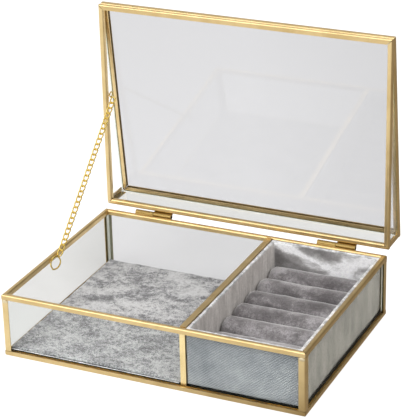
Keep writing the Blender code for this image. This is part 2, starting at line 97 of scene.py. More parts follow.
# ---- working the mesh ---------------------------------------------------------------------
class Bench:
    """The modelling steps that the pieces share."""

    @staticmethod
    def clear() -> None:
        """Deselect every object."""
        bpy.ops.object.select_all(action="DESELECT")

    @staticmethod
    def named(name: str) -> Object:
        """Name the object just added, and put its place in its mesh.

        Args:
            name: The piece's name.

        Returns:
            The object.
        """
        bpy.ops.object.transform_apply(location=True, rotation=True, scale=True)
        piece = bpy.context.active_object
        piece.name = piece.data.name = name
        return piece

    @classmethod
    def block(cls, name: str, low: Vector, high: Vector) -> Object:
        """Add a block that fills the room between two corners.

        Args:
            name: The piece's name.
            low: Its lowest corner.
            high: Its highest corner.

        Returns:
            The new object.
        """
        cls.clear()
        low, high = Vector(low), Vector(high)
        bpy.ops.mesh.primitive_cube_add(size=1.0, location=(low + high) / 2, scale=high - low)
        return cls.named(name)

    @classmethod
    def wire_ring(cls, name: str, radius: float, wire: float, around: int = 32,
                  across: int = 10) -> Object:
        """Add a round wire ring, flat at the origin.

        Args:
            name: The piece's name.
            radius: From the middle to the middle of the wire.
            wire: Half the wire's thickness.
            around: Steps round the ring.
            across: Steps round the wire.

        Returns:
            The new object.
        """
        cls.clear()
        bpy.ops.mesh.primitive_torus_add(major_radius=radius, minor_radius=wire,
                                         major_segments=around, minor_segments=across)
        return cls.named(name)

    @staticmethod
    def pick(piece: Object, part: Part, test: Test) -> None:
        """Go into edit mode with just the parts selected that pass a test.

        Args:
            piece: The object to work on.
            part: Faces, edges or corners.
            test: Takes a part's middle and its normal.
        """
        bpy.context.view_layer.objects.active = piece
        bpy.ops.object.mode_set(mode="EDIT")
        bpy.ops.mesh.select_mode(type=part.value)
        bpy.ops.mesh.select_all(action="DESELECT")
        shape = bmesh.from_edit_mesh(piece.data)
        shape.normal_update()
        if part is Part.FACE:
            for face in shape.faces:
                face.select_set(test(face.calc_center_median(), face.normal))
        elif part is Part.EDGE:
            for edge in shape.edges:
                ends = edge.verts[0].co, edge.verts[1].co
                edge.select_set(test((ends[0] + ends[1]) / 2, (ends[1] - ends[0]).normalized()))
        else:
            for corner in shape.verts:
                corner.select_set(test(corner.co, corner.normal))
        shape.select_flush_mode()
        bmesh.update_edit_mesh(piece.data)

    @staticmethod
    def done() -> None:
        """Go back to object mode."""
        bpy.ops.object.mode_set(mode="OBJECT")

    @classmethod
    def pull(cls, piece: Object, test: Test, by: Vector) -> None:
        """Extrude the faces that pass a test.

        Args:
            piece: The object to work on.
            test: Takes a face's middle and its normal.
            by: How far they go.
        """
        cls.pick(piece, Part.FACE, test)
        bpy.ops.mesh.extrude_region_move(TRANSFORM_OT_translate={"value": tuple(by)})
        cls.done()

    @classmethod
    def shift(cls, piece: Object, test: Test, by: Vector) -> None:
        """Move the corners that pass a test.

        Args:
            piece: The object to work on.
            test: Takes a corner's place and its normal.
            by: How far they go.
        """
        cls.pick(piece, Part.CORNER, test)
        bpy.ops.transform.translate(value=tuple(by))
        cls.done()

    @classmethod
    def bevel(cls, piece: Object, test: Test, width: float, segments: int) -> None:
        """Round the edges that pass a test.

        Args:
            piece: The object to work on.
            test: Takes an edge's middle and its direction.
            width: Width of the rounding.
            segments: Steps across it.
        """
        cls.pick(piece, Part.EDGE, test)
        bpy.ops.mesh.bevel(offset=width, segments=segments, profile=0.5)
        cls.done()

    @staticmethod
    def modify(piece: Object, kind: str, **settings: object) -> None:
        """Add a modifier, set it and apply it.

        Args:
            piece: The object to work on.
            kind: The modifier's type.
            settings: Its settings.
        """
        bpy.context.view_layer.objects.active = piece
        modifier = piece.modifiers.new(kind.lower(), kind)
        for key, value in settings.items():
            setattr(modifier, key, value)
        bpy.ops.object.modifier_apply(modifier=modifier.name)

    @classmethod
    def subdivide(cls, piece: Object, levels: int) -> None:
        """Apply a subdivision surface of so many levels."""
        cls.modify(piece, "SUBSURF", levels=levels, render_levels=levels)

    @classmethod
    def ruffle(cls, piece: Object, wave: Wave, axis: str = "NORMAL", group: str = "") -> None:
        """Push the surface in and out in soft clouds.

        Args:
            piece: The object to work on.
            wave: How large the clouds are, and how far they move the surface.
            axis: The direction of the move.
            group: Name of the vertex group that limits it.
        """
        size, depth = wave
        clouds = bpy.data.textures.new(piece.name + "_clouds", "CLOUDS")
        clouds.noise_scale = size
        clouds.noise_depth = 2
        cls.modify(piece, "DISPLACE", texture=clouds, strength=depth, mid_level=0.5,
                   texture_coords="LOCAL", direction=axis, vertex_group=group)

    @classmethod
    def smooth(cls, piece: Object, angle: float) -> None:
        """Shade a piece smooth, except over its sharp edges.

        Args:
            piece: The object to shade.
            angle: Edges sharper than this stay sharp, in degrees.
        """
        cls.clear()
        piece.select_set(True)
        bpy.context.view_layer.objects.active = piece
        bpy.ops.object.shade_smooth_by_angle(angle=math.radians(angle))

    @classmethod
    def inflate(cls, piece: Object, voxel: float, cap: float, pressure: float) -> None:
        """Puff a closed shape up like a stuffed cover, as simulated cloth.

        Args:
            piece: The object to work on.
            voxel: Size of the cloth's squares.
            cap: How far a point may move.
            pressure: Pressure of the stuffing.
        """
        cls.modify(piece, "REMESH", mode="VOXEL", voxel_size=voxel)
        scene = bpy.context.scene
        floor_z = min(corner.co.z for corner in piece.data.vertices)
        home = [corner.co.copy() for corner in piece.data.vertices]
        cloth = piece.modifiers.new("cloth", "CLOTH")
        cloth.settings.use_pressure = True
        cloth.settings.uniform_pressure_force = pressure
        cloth.settings.effector_weights.gravity = 0.0
        cloth.point_cache.frame_start = 1
        cloth.point_cache.frame_end = SIM_FRAMES
        for step in range(1, SIM_FRAMES + 1):
            scene.frame_set(step)
        bpy.context.view_layer.objects.active = piece
        bpy.ops.object.modifier_apply(modifier=cloth.name)
        for corner, start in zip(piece.data.vertices, home):
            move = corner.co - start
            if move.length > cap:
                corner.co = start + move * (cap / move.length)
            corner.co.z = max(corner.co.z, floor_z)
        scene.frame_set(1)

    @staticmethod
    def place(piece: Object, matrix: Matrix) -> None:
        """Move a piece and put the move in its mesh."""
        piece.data.transform(matrix)
        piece.data.update()

    @staticmethod
    def copy(piece: Object, name: str) -> Object:
        """Copy a piece with a mesh of its own.

        Args:
            piece: The object to copy.
            name: The copy's name.

        Returns:
            The copy.
        """
        made = piece.copy()
        made.data = piece.data.copy()
        made.name = made.data.name = name
        bpy.context.scene.collection.objects.link(made)
        return made


# ---- node wiring --------------------------------------------------------------------------
class Wiring:
    """Adds and joins the nodes of one node tree."""

    def __init__(self, tree: Tree) -> None:
        """Take a material's, world's or group's node tree to work in."""
        self.tree = tree

    def feed(self, socket: Socket, value: Feed) -> None:
        """Join a socket to another, or set its value.

        Args:
            socket: The input.
            value: An output socket or a plain value.
        """
        if isinstance(value, Socket):
            self.tree.links.new(value, socket)
        elif isinstance(value, tuple) and len(value) == 3 and socket.type == "RGBA":
            socket.default_value = (*value, 1.0)
        else:
            socket.default_value = value

    def add(self, kind: str, inputs: dict | None = None, **settings: object) -> bpy.types.Node:
        """Add a node.

        Args:
            kind: Its type, without the leading ShaderNode.
            inputs: Values or sockets for its inputs, by name or number.
            settings: Its own settings.

        Returns:
            The node.
        """
        node = self.tree.nodes.new("ShaderNode" + kind)
        for key, value in settings.items():
            setattr(node, key, value)
        for key, value in (inputs or {}).items():
            self.feed(node.inputs[key], value)
        return node

    def math(self, operation: str, a: Feed, b: Feed = 0.0, clamp: bool = False) -> Socket:
        """Work out a value from two others, kept between 0 and 1 if clamped."""
        return self.add("Math", {0: a, 1: b}, operation=operation, use_clamp=clamp).outputs[0]

    def weigh(self, a: Feed, share_a: float, b: Feed, share_b: float) -> Socket:
        """Add two values, each weighed by its share."""
        return self.math("ADD", self.math("MULTIPLY", a, share_a), self.math("MULTIPLY", b, share_b))

    def split(self, place: Socket) -> bpy.types.NodeOutputs:
        """Split coordinates into their X, Y and Z."""
        return self.add("SeparateXYZ", {0: place}).outputs

    def grey(self, value: Socket) -> Socket:
        """Turn a value into the grey of that brightness."""
        return self.add("CombineColor", {0: value, 1: value, 2: value}).outputs[0]

    def mix(self, factor: Feed, a: Feed, b: Feed, blend: str = "MIX") -> Socket:
        """Mix two colours.

        Args:
            factor: Share of the second.
            a: First colour.
            b: Second colour.
            blend: How they mix.

        Returns:
            The output socket.
        """
        node = self.add("Mix", data_type="RGBA", blend_type=blend)
        for index, value in ((0, factor), (6, a), (7, b)):
            self.feed(node.inputs[index], value)
        return node.outputs[2]

    def noise(self, place: Socket, scale: Feed, detail: float = 3.0, rough: float = 0.55,
              distortion: float = 0.0) -> Socket:
        """Add a Noise Texture, its scale in features to the metre, and return its value."""
        return self.add("TexNoise", {"Vector": place, "Scale": scale, "Detail": detail,
                                     "Roughness": rough, "Distortion": distortion}).outputs[0]

    def ramp(self, value: Feed, stops: Stops) -> Socket:
        """Turn a value into a colour.

        Args:
            value: What drives it.
            stops: Places and colours along the ramp.

        Returns:
            The output socket.
        """
        node = self.add("ValToRGB", {0: value})
        while len(node.color_ramp.elements) < len(stops):
            node.color_ramp.elements.new(0.5)
        for element, (place, colour) in zip(node.color_ramp.elements, stops):
            element.position = place
            element.color = (*colour, 1.0)
        return node.outputs[0]

    def span(self, value: Feed, low: float, high: float, out_low: float = 0.0,
             out_high: float = 1.0) -> Socket:
        """Map a value from one range to another, kept inside it."""
        return self.add("MapRange", {0: value, 1: low, 2: high, 3: out_low, 4: out_high}).outputs[0]

    def mapping(self, place: Socket, scale: Place, turn: Place = (0.0, 0.0, 0.0)) -> Socket:
        """Stretch coordinates and turn them by so many radians."""
        return self.add("Mapping", {"Vector": place, "Scale": scale, "Rotation": turn}).outputs[0]

    def bump(self, height: Socket, strength: float, distance: float) -> Socket:
        """Turn a height, so many metres deep, into a normal."""
        return self.add("Bump", {"Height": height, "Strength": strength,
                                 "Distance": distance}).outputs[0]

    def group(self, tree: Tree, inputs: dict) -> bpy.types.Node:
        """Place a node group.

        Args:
            tree: The group.
            inputs: Values or sockets for its inputs.

        Returns:
            The node.
        """
        node = self.tree.nodes.new("ShaderNodeGroup")
        node.node_tree = tree
        for key, value in inputs.items():
            self.feed(node.inputs[key], value)
        return node


class Effects:
    """The node groups that more than one finish uses, each built once."""

    @staticmethod
    def start(name: str, inputs: dict[str, float | None], outputs: tuple[str, ...]) -> tuple:
        """Start a node group.

        Args:
            name: The group's name.
            inputs: Name and value of each input, None for coordinates.
            outputs: The names of its outputs, all of them values.

        Returns:
            The tree, its wiring, the sockets it is given and the sockets it gives.
        """
        tree = bpy.data.node_groups.new(name, "ShaderNodeTree")
        for key, value in inputs.items():
            kind = "NodeSocketVector" if value is None else "NodeSocketFloat"
            socket = tree.interface.new_socket(key, in_out="INPUT", socket_type=kind)
            if value is not None:
                socket.default_value = value
        for key in outputs:
            tree.interface.new_socket(key, in_out="OUTPUT", socket_type="NodeSocketFloat")
        return (tree, Wiring(tree), tree.nodes.new("NodeGroupInput").outputs,
                tree.nodes.new("NodeGroupOutput").inputs)

    @cache
    def fibre(self) -> Tree:
        """Short pile that catches the light in specks.

        Returns:
            The group, with outputs Speck and Pile.
        """
        tree, wire, given, out = self.start("fibre_grain", {"Vector": None, "Scale": 1500.0},
                                            ("Speck", "Pile"))
        fine = wire.noise(given["Vector"], given["Scale"], 2.0, 0.6)
        coarse = wire.noise(given["Vector"], wire.math("MULTIPLY", given["Scale"], 0.35), 2.0, 0.5)
        wire.feed(out["Speck"], wire.span(wire.weigh(fine, 0.6, coarse, 0.4), 0.36, 0.64))
        wire.feed(out["Pile"], fine)
        return tree

    @cache
    def crush(self) -> Tree:
        """Pile pressed flat in clusters of short streaks.

        Returns:
            The group, with outputs Lie and Height.
        """
        tree, wire, given, out = self.start(
            "crushed_pile", {"Vector": None, "Cluster": 30.0, "Streak": 130.0, "Share": 0.5},
            ("Lie", "Height"))
        cluster = wire.noise(given["Vector"], given["Cluster"], 2.0, 0.5, 0.6)
        streak = wire.noise(given["Vector"], given["Streak"], 4.0, 0.62, 0.3)
        both = wire.mix(given["Share"], streak, cluster)
        wire.feed(out["Lie"], wire.span(both, 0.385, 0.60))
        wire.feed(out["Height"], streak)
        return tree

    @cache
    def brush(self) -> Tree:
        """Fine brush marks and broad tarnish on drawn brass.

        Returns:
            The group, with outputs Mark and Tarnish.
        """
        tree, wire, given, out = self.start(
            "brushed_brass", {"Vector": None, "Place": None, "Marks": 2200.0, "Cloud": 55.0},
            ("Mark", "Tarnish"))
        marks = wire.noise(given["Vector"], given["Marks"], 3.0, 0.6)
        cloud = wire.noise(given["Place"], given["Cloud"], 4.0, 0.6, 0.4)
        wire.feed(out["Mark"], wire.span(marks, 0.3, 0.7))
        wire.feed(out["Tarnish"], wire.span(cloud, 0.4, 0.68))
        return tree

    @cache
    def twill(self) -> Tree:
        """Diagonal ribs of a woven backing, broken up along their length.

        Returns:
            The group, with outputs Rib and Height.
        """
        tree, wire, given, out = self.start("twill_weave", {"Vector": None, "Ribs": 300.0},
                                            ("Rib", "Height"))
        ribs = wire.add("TexWave", {"Vector": given["Vector"], "Scale": given["Ribs"],
                                    "Distortion": 0.6, "Detail": 2.0, "Detail Scale": 2.0},
                        wave_type="BANDS", bands_direction="DIAGONAL").outputs[1]
        breaks = wire.noise(given["Vector"], 900.0, 2.0, 0.6)
        wire.feed(out["Rib"], wire.span(wire.weigh(ribs, 0.75, breaks, 0.35), 0.15, 0.95))
        wire.feed(out["Height"], ribs)
        return tree

    @cache
    def dust(self) -> Tree:
        """Faint smears and settled dust.

        Returns:
            The group, with output Smear.
        """
        tree, wire, given, out = self.start("handling_dust", {"Vector": None, "Scale": 25.0},
                                            ("Smear",))
        smear = wire.noise(given["Vector"], given["Scale"], 5.0, 0.65, 0.5)
        wire.feed(out["Smear"], wire.span(smear, 0.45, 0.75))
        return tree


EFFECTS = Effects()


# ---- finishes -----------------------------------------------------------------------------
class Finish(Protocol):
    """What every finish has."""

    @property
    def name(self) -> str:
        """The name of its material."""

    def material(self) -> bpy.types.Material:
        """Build the material."""


class Sheet:
    """A new material with its Principled shader, ready to be wired."""

    def __init__(self, name: str) -> None:
        """Make a material of that name.

        Args:
            name: The finish's name.
        """
        self.material = bpy.data.materials.new(name)
        self.material.use_nodes = True
        self.material.node_tree.nodes.clear()
        self.wire = Wiring(self.material.node_tree)
        coordinates = self.wire.add("TexCoord")
        self.place = coordinates.outputs["Object"]
        self.normal = coordinates.outputs["Normal"]

    def close(self, inputs: dict) -> bpy.types.Material:
        """Add the shader and join it to the output.

        Args:
            inputs: Values or sockets for the Principled shader.

        Returns:
            The material.
        """
        shader = self.wire.add("BsdfPrincipled", inputs)
        output = self.wire.add("OutputMaterial")
        self.wire.feed(output.inputs["Surface"], shader.outputs[0])
        return self.material


@dataclass(frozen=True)
class Brass:
    """Satin brass plating with brush marks and a little tarnish."""

    name: str
    light: Colour = (0.82, 0.62, 0.315)
    dark: Colour = (0.52, 0.35, 0.12)
    roughness: float = 0.35
    run: Run = Run.ALONG_X
    lacquer: float = 0.15
    tarnish: float = 0.45
    marks: float = 0.12
    uneven: float = 0.10
    smear: float = 40.0

    def material(self) -> bpy.types.Material:
        """Build the material.

        Returns:
            The material.
        """
        sheet = Sheet(self.name)
        wire = sheet.wire
        brushed = wire.mapping(sheet.place, self.run.value)
        marks = wire.group(EFFECTS.brush(), {"Vector": brushed, "Place": sheet.place}).outputs
        smear = wire.group(EFFECTS.dust(), {"Vector": sheet.place, "Scale": self.smear})
        dull = wire.math("MULTIPLY", marks["Tarnish"], self.tarnish)
        colour = wire.mix(dull, self.light, self.dark)
        colour = wire.mix(wire.math("MULTIPLY", marks["Mark"], self.marks), colour, self.dark)
        rough = wire.weigh(marks["Mark"], self.uneven, smear.outputs["Smear"], self.uneven)
        return sheet.close({
            "Base Color": colour,
            "Metallic": 1.0,
            "Roughness": wire.math("ADD", rough, self.roughness - 0.08),
            "Coat Weight": self.lacquer,
            "Coat Roughness": 0.35,
            "Normal": wire.bump(marks["Mark"], 0.12, 0.00005),
        })


@dataclass(frozen=True)
class Glass:
    """A clear pane with a greenish cut edge; lamps shine through it. Its tint is partly painted
    shade, and it darkens towards one end as painted shade.
    """

    name: str
    tint_and_painted_shade: Colour
    axis: int
    edge: Colour = (0.40, 0.50, 0.42)
    index: float = 1.22
    painted_shade_fade: float = 1.0
    painted_shade_fade_axis: int = 0
    painted_shade_fade_span: tuple[float, float] = (-0.06, 0.06)
    facing: tuple[float, float] = (0.25, 0.6)
    smear: float = 18.0
    smear_tint: float = 0.96
    shadow: Colour = (0.97, 0.97, 0.97)

    def material(self) -> bpy.types.Material:
        """Build the material.

        Returns:
            The material.
        """
        sheet = Sheet(self.name)
        wire = sheet.wire
        facing = wire.math("ABSOLUTE", wire.split(sheet.normal)[self.axis])
        flat = wire.span(facing, *self.facing)
        dust = wire.group(EFFECTS.dust(), {"Vector": sheet.place, "Scale": self.smear})
        smear = dust.outputs["Smear"]
        tint_and_painted_shade = wire.mix(wire.math("MULTIPLY", smear, 0.25), self.tint_and_painted_shade,
                        tuple(self.smear_tint * value for value in self.tint_and_painted_shade))
        # painted shade: the pane grows darker towards one end along an axis
        along = wire.split(sheet.place)[self.painted_shade_fade_axis]
        painted_shade_fade = wire.grey(wire.span(along, *self.painted_shade_fade_span, 1.0, self.painted_shade_fade))
        tint_and_painted_shade = wire.mix(1.0, tint_and_painted_shade, painted_shade_fade, "MULTIPLY")
        glass = wire.add("BsdfPrincipled", {
            "Base Color": wire.mix(flat, self.edge, tint_and_painted_shade),
            "Roughness": wire.math("MULTIPLY", smear, 0.02),
            "IOR": self.index,
            "Transmission Weight": 1.0,
        })
        clear = wire.add("BsdfTransparent", {"Color": self.shadow})
        shadow = wire.add("LightPath").outputs["Is Shadow Ray"]
        both = wire.add("MixShader", {0: shadow, 1: glass.outputs[0], 2: clear.outputs[0]})
        wire.feed(wire.add("OutputMaterial").inputs["Surface"], both.outputs[0])
        return sheet.material


@dataclass(frozen=True)
class CrushedVelvet:
    """Velvet whose pile lies in light and dark streaks."""

    name: str
    stops: Stops
    stretch: Place = (0.42, 1.0, 1.0)
    cluster: float = 34.0
    streak: float = 240.0
    fibre: float = 900.0
    share: float = 0.5
    speck: float = 0.75
    sheen: float = 0.25
    depth: float = 0.55
    painted_glass_veil: float = 0.0
    painted_glass_veil_span: tuple[float, float] = (-0.03, -0.01)

    def material(self) -> bpy.types.Material:
        """Build the material.

        Returns:
            The material.
        """
        sheet = Sheet(self.name)
        wire = sheet.wire
        place = wire.mapping(sheet.place, self.stretch)
        crush = wire.group(EFFECTS.crush(), {"Vector": place, "Cluster": self.cluster,
                                             "Streak": self.streak, "Share": self.share})
        fibre = wire.group(EFFECTS.fibre(), {"Vector": sheet.place, "Scale": self.fibre})
        off_middle = wire.math("SUBTRACT", fibre.outputs["Speck"], 0.5)
        speck = wire.math("MULTIPLY", off_middle, self.speck)
        # painted reflection: towards the front the pile is drawn to mid-grey, standing for the front
        # pane's faint reflection
        painted_glass_veil = wire.span(wire.split(sheet.place)[1], *self.painted_glass_veil_span, self.painted_glass_veil, 0.0)
        rest = wire.math("SUBTRACT", 0.5, crush.outputs["Lie"])
        flat = wire.math("ADD", crush.outputs["Lie"], wire.math("MULTIPLY", rest, painted_glass_veil))
        lie = wire.math("ADD", flat, speck, clamp=True)
        height = wire.weigh(crush.outputs["Height"], 0.7, fibre.outputs["Pile"], 0.3)
        return sheet.close({
            "Base Color": wire.ramp(lie, self.stops),
            "Roughness": wire.span(lie, 0.0, 1.0, 0.85, 0.55),
            "Specular IOR Level": 0.3,
            "Sheen Weight": self.sheen,
            "Sheen Roughness": 0.45,
            "Normal": wire.bump(height, self.depth, 0.0006),
        })


@dataclass(frozen=True)
class TrayVelvet:
    """The tray's lining: plain on its sides, with crushed patches on the faces that look along Y,
    lit by a painted diagonal band of light and by painted light towards their right end.
    """

    name: str
    plain: Stops
    patch: Stops
    bright_axis: int = 1
    slope: float = 0.36
    painted_light_band: float = 0.0505
    painted_light_band_width: float = 0.0095
    painted_light_band_span: tuple[float, float] = (0.86, -0.2)
    right: tuple[float, float] = (0.055, 0.075)
    painted_light_right_span: tuple[float, float] = (-0.2, 0.55)
    patches: float = 0.62
    speck: tuple[float, float] = (0.86, 1.14)

    def material(self) -> bpy.types.Material:
        """Build the material.

        Returns:
            The material.
        """
        sheet = Sheet(self.name)
        wire = sheet.wire
        streaks = wire.noise(wire.mapping(sheet.place, (1.0, 1.0, 0.18)), 260.0, 4.0, 0.6, 0.3)
        fibre = wire.group(EFFECTS.fibre(), {"Vector": sheet.place, "Scale": 1600.0})
        patches = wire.group(EFFECTS.crush(), {
            "Vector": wire.mapping(sheet.place, (0.8, 1.0, 1.5), (0.0, 0.7, 0.0)),
            "Cluster": 38.0, "Streak": 120.0})
        facing = wire.math("ABSOLUTE", wire.split(sheet.normal)[self.bright_axis])
        side = wire.span(facing, *FACING)
        plain = wire.ramp(wire.span(streaks, 0.3, 0.7), self.plain)
        where = wire.split(sheet.place)
        # painted light: a bright band along a diagonal line across the patched walls
        line = wire.math("ADD", where[2], wire.math("MULTIPLY", where[0], self.slope))
        off = wire.math("ABSOLUTE", wire.math("SUBTRACT", line, self.painted_light_band))
        painted_light_band = wire.span(off, 0.0, self.painted_light_band_width, *self.painted_light_band_span)
        # painted light: the patched walls grow lighter towards their right end
        right = wire.span(where[0], *self.right, *self.painted_light_right_span)
        lie = wire.math("ADD", wire.math("MULTIPLY", patches.outputs["Lie"], self.patches),
                        wire.math("MAXIMUM", painted_light_band, right))
        colour = wire.mix(side, plain, wire.ramp(lie, self.patch))
        speck = wire.grey(wire.span(fibre.outputs["Speck"], 0.0, 1.0, *self.speck))
        return sheet.close({
            "Base Color": wire.mix(1.0, colour, speck, "MULTIPLY"),
            "Roughness": 0.8,
            "Specular IOR Level": 0.25,
            "Sheen Weight": 0.2,
            "Sheen Roughness": 0.5,
            "Normal": wire.bump(wire.math("ADD", streaks, fibre.outputs["Pile"]), 0.35, 0.0003),
        })


@dataclass(frozen=True)
class TwillWrap:
    """The tray's outer cloth: ribbed on the front and back, napped on the other sides, whose darker,
    warmer colour is painted shade.
    """

    name: str
    ribbed: Stops
    napped: Stops
    slant: Place = (1.10, 0.2, -1.35)
    ribs: float = 270.0
    rib_share: float = 0.38
    speck_share: float = 0.12

    def material(self) -> bpy.types.Material:
        """Build the material.

        Returns:
            The material.
        """
        sheet = Sheet(self.name)
        wire = sheet.wire
        weave = wire.group(EFFECTS.twill(), {
            "Vector": wire.mapping(sheet.place, self.slant), "Ribs": self.ribs})
        cloud = wire.span(wire.noise(sheet.place, 45.0, 4.0, 0.65), 0.3, 0.7)
        fibre = wire.group(EFFECTS.fibre(), {"Vector": sheet.place, "Scale": 1400.0})
        rib = wire.weigh(weave.outputs["Rib"], self.rib_share, cloud, 1 - self.rib_share)
        brushed = wire.noise(wire.mapping(sheet.place, (1.0, 1.0, 0.3)), 130.0, 4.0, 0.6)
        nap = wire.weigh(fibre.outputs["Speck"], self.speck_share, brushed, 1 - self.speck_share)
        facing = wire.math("ABSOLUTE", wire.split(sheet.normal)[1])
        front = wire.span(facing, *FACING)
        height = wire.math("ADD", weave.outputs["Height"], fibre.outputs["Pile"])
        return sheet.close({
            # painted shade: the sides, picked by their normals, take a darker, warmer ramp than the
            # front and back; the nap pattern is the cloth's
            "Base Color": wire.mix(front, wire.ramp(nap, self.napped),
                                   wire.ramp(rib, self.ribbed)),
            "Roughness": 0.85,
            "Specular IOR Level": 0.2,
            "Sheen Weight": 0.15,
            "Normal": wire.bump(height, 0.22, 0.0003),
        })


@dataclass(frozen=True)
class Board:
    """Black card with a fibrous, slightly scuffed face."""

    name: str
    colour: Colour = (0.004, 0.005, 0.004)
    scuffed: Colour = (0.014, 0.015, 0.014)

    def material(self) -> bpy.types.Material:
        """Build the material.

        Returns:
            The material.
        """
        sheet = Sheet(self.name)
        wire = sheet.wire
        fibre = wire.group(EFFECTS.fibre(), {"Vector": sheet.place, "Scale": 900.0})
        smear = wire.group(EFFECTS.dust(), {"Vector": sheet.place, "Scale": 60.0})
        scuff = wire.math("MULTIPLY", smear.outputs["Smear"], fibre.outputs["Speck"])
        return sheet.close({
            "Base Color": wire.mix(scuff, self.colour, self.scuffed),
            "Roughness": wire.span(fibre.outputs["Speck"], 0.0, 1.0, 0.8, 0.95),
            "Specular IOR Level": 0.04,
            "Normal": wire.bump(fibre.outputs["Pile"], 0.3, 0.0002),
        })


@dataclass(frozen=True)
class CornerStrip:
    """Strip in the glass corners, with a slight gloss: the dark and olive ones are painted shade,
    standing for the corner posts' shaded inner faces seen through the glass; the pale ones are cut
    glass edges.
    """

    name: str
    colour: Colour = (0.10, 0.095, 0.055)
    worn: Colour = (0.24, 0.23, 0.15)
    metallic: float = 0.5

    def material(self) -> bpy.types.Material:
        """Build the material.

        Returns:
            The material.
        """
        sheet = Sheet(self.name)
        wire = sheet.wire
        marks = wire.group(EFFECTS.brush(), {
            "Vector": wire.mapping(sheet.place, Run.ALONG_Z.value), "Place": sheet.place})
        return sheet.close({
            "Base Color": wire.mix(marks.outputs["Mark"], self.colour, self.worn),
            "Metallic": self.metallic,
            "Roughness": wire.span(marks.outputs["Tarnish"], 0.0, 1.0, 0.3, 0.5),
        })


@dataclass(frozen=True)
class Palette:
    """Every finish of the box."""

    came_x: Brass = Brass("came_brass_x")
    came_y: Brass = Brass("came_brass_y", run=Run.ALONG_Y)
    came_z: Brass = Brass("came_brass_z", light=(0.90, 0.70, 0.37), dark=(0.62, 0.44, 0.17),
                          run=Run.ALONG_Z)
    # painted shade: the hinge tubes take a much darker copy of the came brass
    hinge: Brass = Brass("hinge_brass", light=(0.42, 0.29, 0.10), dark=(0.28, 0.18, 0.055))
    pin: Brass = Brass("pin_brass", light=(0.42, 0.33, 0.18), dark=(0.2, 0.15, 0.08),
                       roughness=0.42)
    chain: Brass = Brass("chain_brass", light=(0.90, 0.68, 0.20), dark=(0.62, 0.42, 0.08),
                         roughness=0.24, run=Run.ALONG_Z)
    solder: Brass = Brass("solder", light=(0.86, 0.74, 0.50), dark=(0.72, 0.56, 0.30),
                          roughness=0.34)
    board: Board = Board("black_card")
    # painted shade: dark and olive strips where the corner posts' shaded inner faces show through
    # the glass
    seal: CornerStrip = CornerStrip("corner_seal_dark", (0.09, 0.09, 0.05), (0.34, 0.34, 0.24))
    line: CornerStrip = CornerStrip("corner_line_olive", (0.16, 0.145, 0.06), (0.34, 0.30, 0.16))
    cut_edge: CornerStrip = CornerStrip("cut_glass_edge", (0.72, 0.75, 0.68), (0.86, 0.88, 0.84), 0.0)
    # The grey tints of the lid, back, left and lid back panes are painted shade that darkens what
    # shows through them; the near-white tints are the glass's own.
    lid_glass: Glass = Glass("lid_glass_clear", (0.625, 0.625, 0.64), 1, index=1.33,
                             painted_shade_fade=0.90, painted_shade_fade_span=(0.0, 0.1))
    back_glass: Glass = Glass("back_glass_clear", (0.64, 0.64, 0.65), 1, index=1.25,
                              painted_shade_fade=0.93, painted_shade_fade_span=(-0.08, -0.02))
    front_glass: Glass = Glass("front_glass_clear", (0.955, 0.97, 0.965), 1, index=1.15)
    side_glass: Glass = Glass("side_glass_clear", (0.665, 0.665, 0.655), 0, index=1.15,
                              painted_shade_fade=0.88, painted_shade_fade_axis=1, painted_shade_fade_span=(0.0, 0.06))
    right_glass: Glass = Glass("right_glass_clear", (0.97, 0.97, 0.955), 0, index=1.06)
    lid_side_glass: Glass = Glass("lid_side_glass_clear", (0.98, 0.98, 0.98), 0)
    lid_back_glass: Glass = Glass("lid_back_glass_clear", (0.67, 0.675, 0.665), 2)
    divider_glass: Glass = Glass("divider_glass_clear", (0.93, 0.93, 0.93), 0)
    pad: CrushedVelvet = CrushedVelvet("crushed_velvet", (
        (0.0, (0.14, 0.14, 0.145)), (0.3, (0.25, 0.25, 0.26)), (0.55, (0.35, 0.35, 0.355)),
        (1.0, (0.53, 0.53, 0.535))), stretch=(0.6, 1.0, 1.0), cluster=62.0, streak=190.0,
        fibre=1250.0, share=0.60, speck=1.25, depth=0.3, painted_glass_veil=0.5)
    rim: CrushedVelvet = CrushedVelvet("rim_velvet", (
        (0.0, (0.32, 0.32, 0.33)), (0.5, (0.50, 0.50, 0.51)), (1.0, (0.74, 0.74, 0.75))),
        stretch=(1.0, 1.0, 1.0), cluster=110.0, streak=360.0, speck=0.35)
    lining: TrayVelvet = TrayVelvet("lining_velvet", (
        (0.0, (0.36, 0.335, 0.32)), (1.0, (0.59, 0.56, 0.54))), (
        (0.1, (0.21, 0.20, 0.20)), (0.55, (0.36, 0.35, 0.35)), (1.0, (0.95, 0.95, 0.97))))
    rolls: CrushedVelvet = CrushedVelvet("roll_velvet", (
        (0.0, (0.078, 0.071, 0.073)), (0.5, (0.145, 0.134, 0.138)),
        (1.0, (0.32, 0.305, 0.313))), stretch=(0.6, 1.0, 1.0), cluster=32.0, streak=90.0,
        fibre=1300.0, speck=0.5, sheen=0.8)
    wrap: TwillWrap = TwillWrap("wrap_cloth", (
        (0.15, (0.165, 0.176, 0.192)), (0.85, (0.36, 0.375, 0.385))), (
        (0.3, (0.125, 0.119, 0.102)), (0.7, (0.26, 0.248, 0.215))))
    thread: CrushedVelvet = CrushedVelvet("pale_thread", (
        (0.0, (0.45, 0.45, 0.46)), (1.0, (0.85, 0.85, 0.86))), cluster=300.0, streak=900.0)


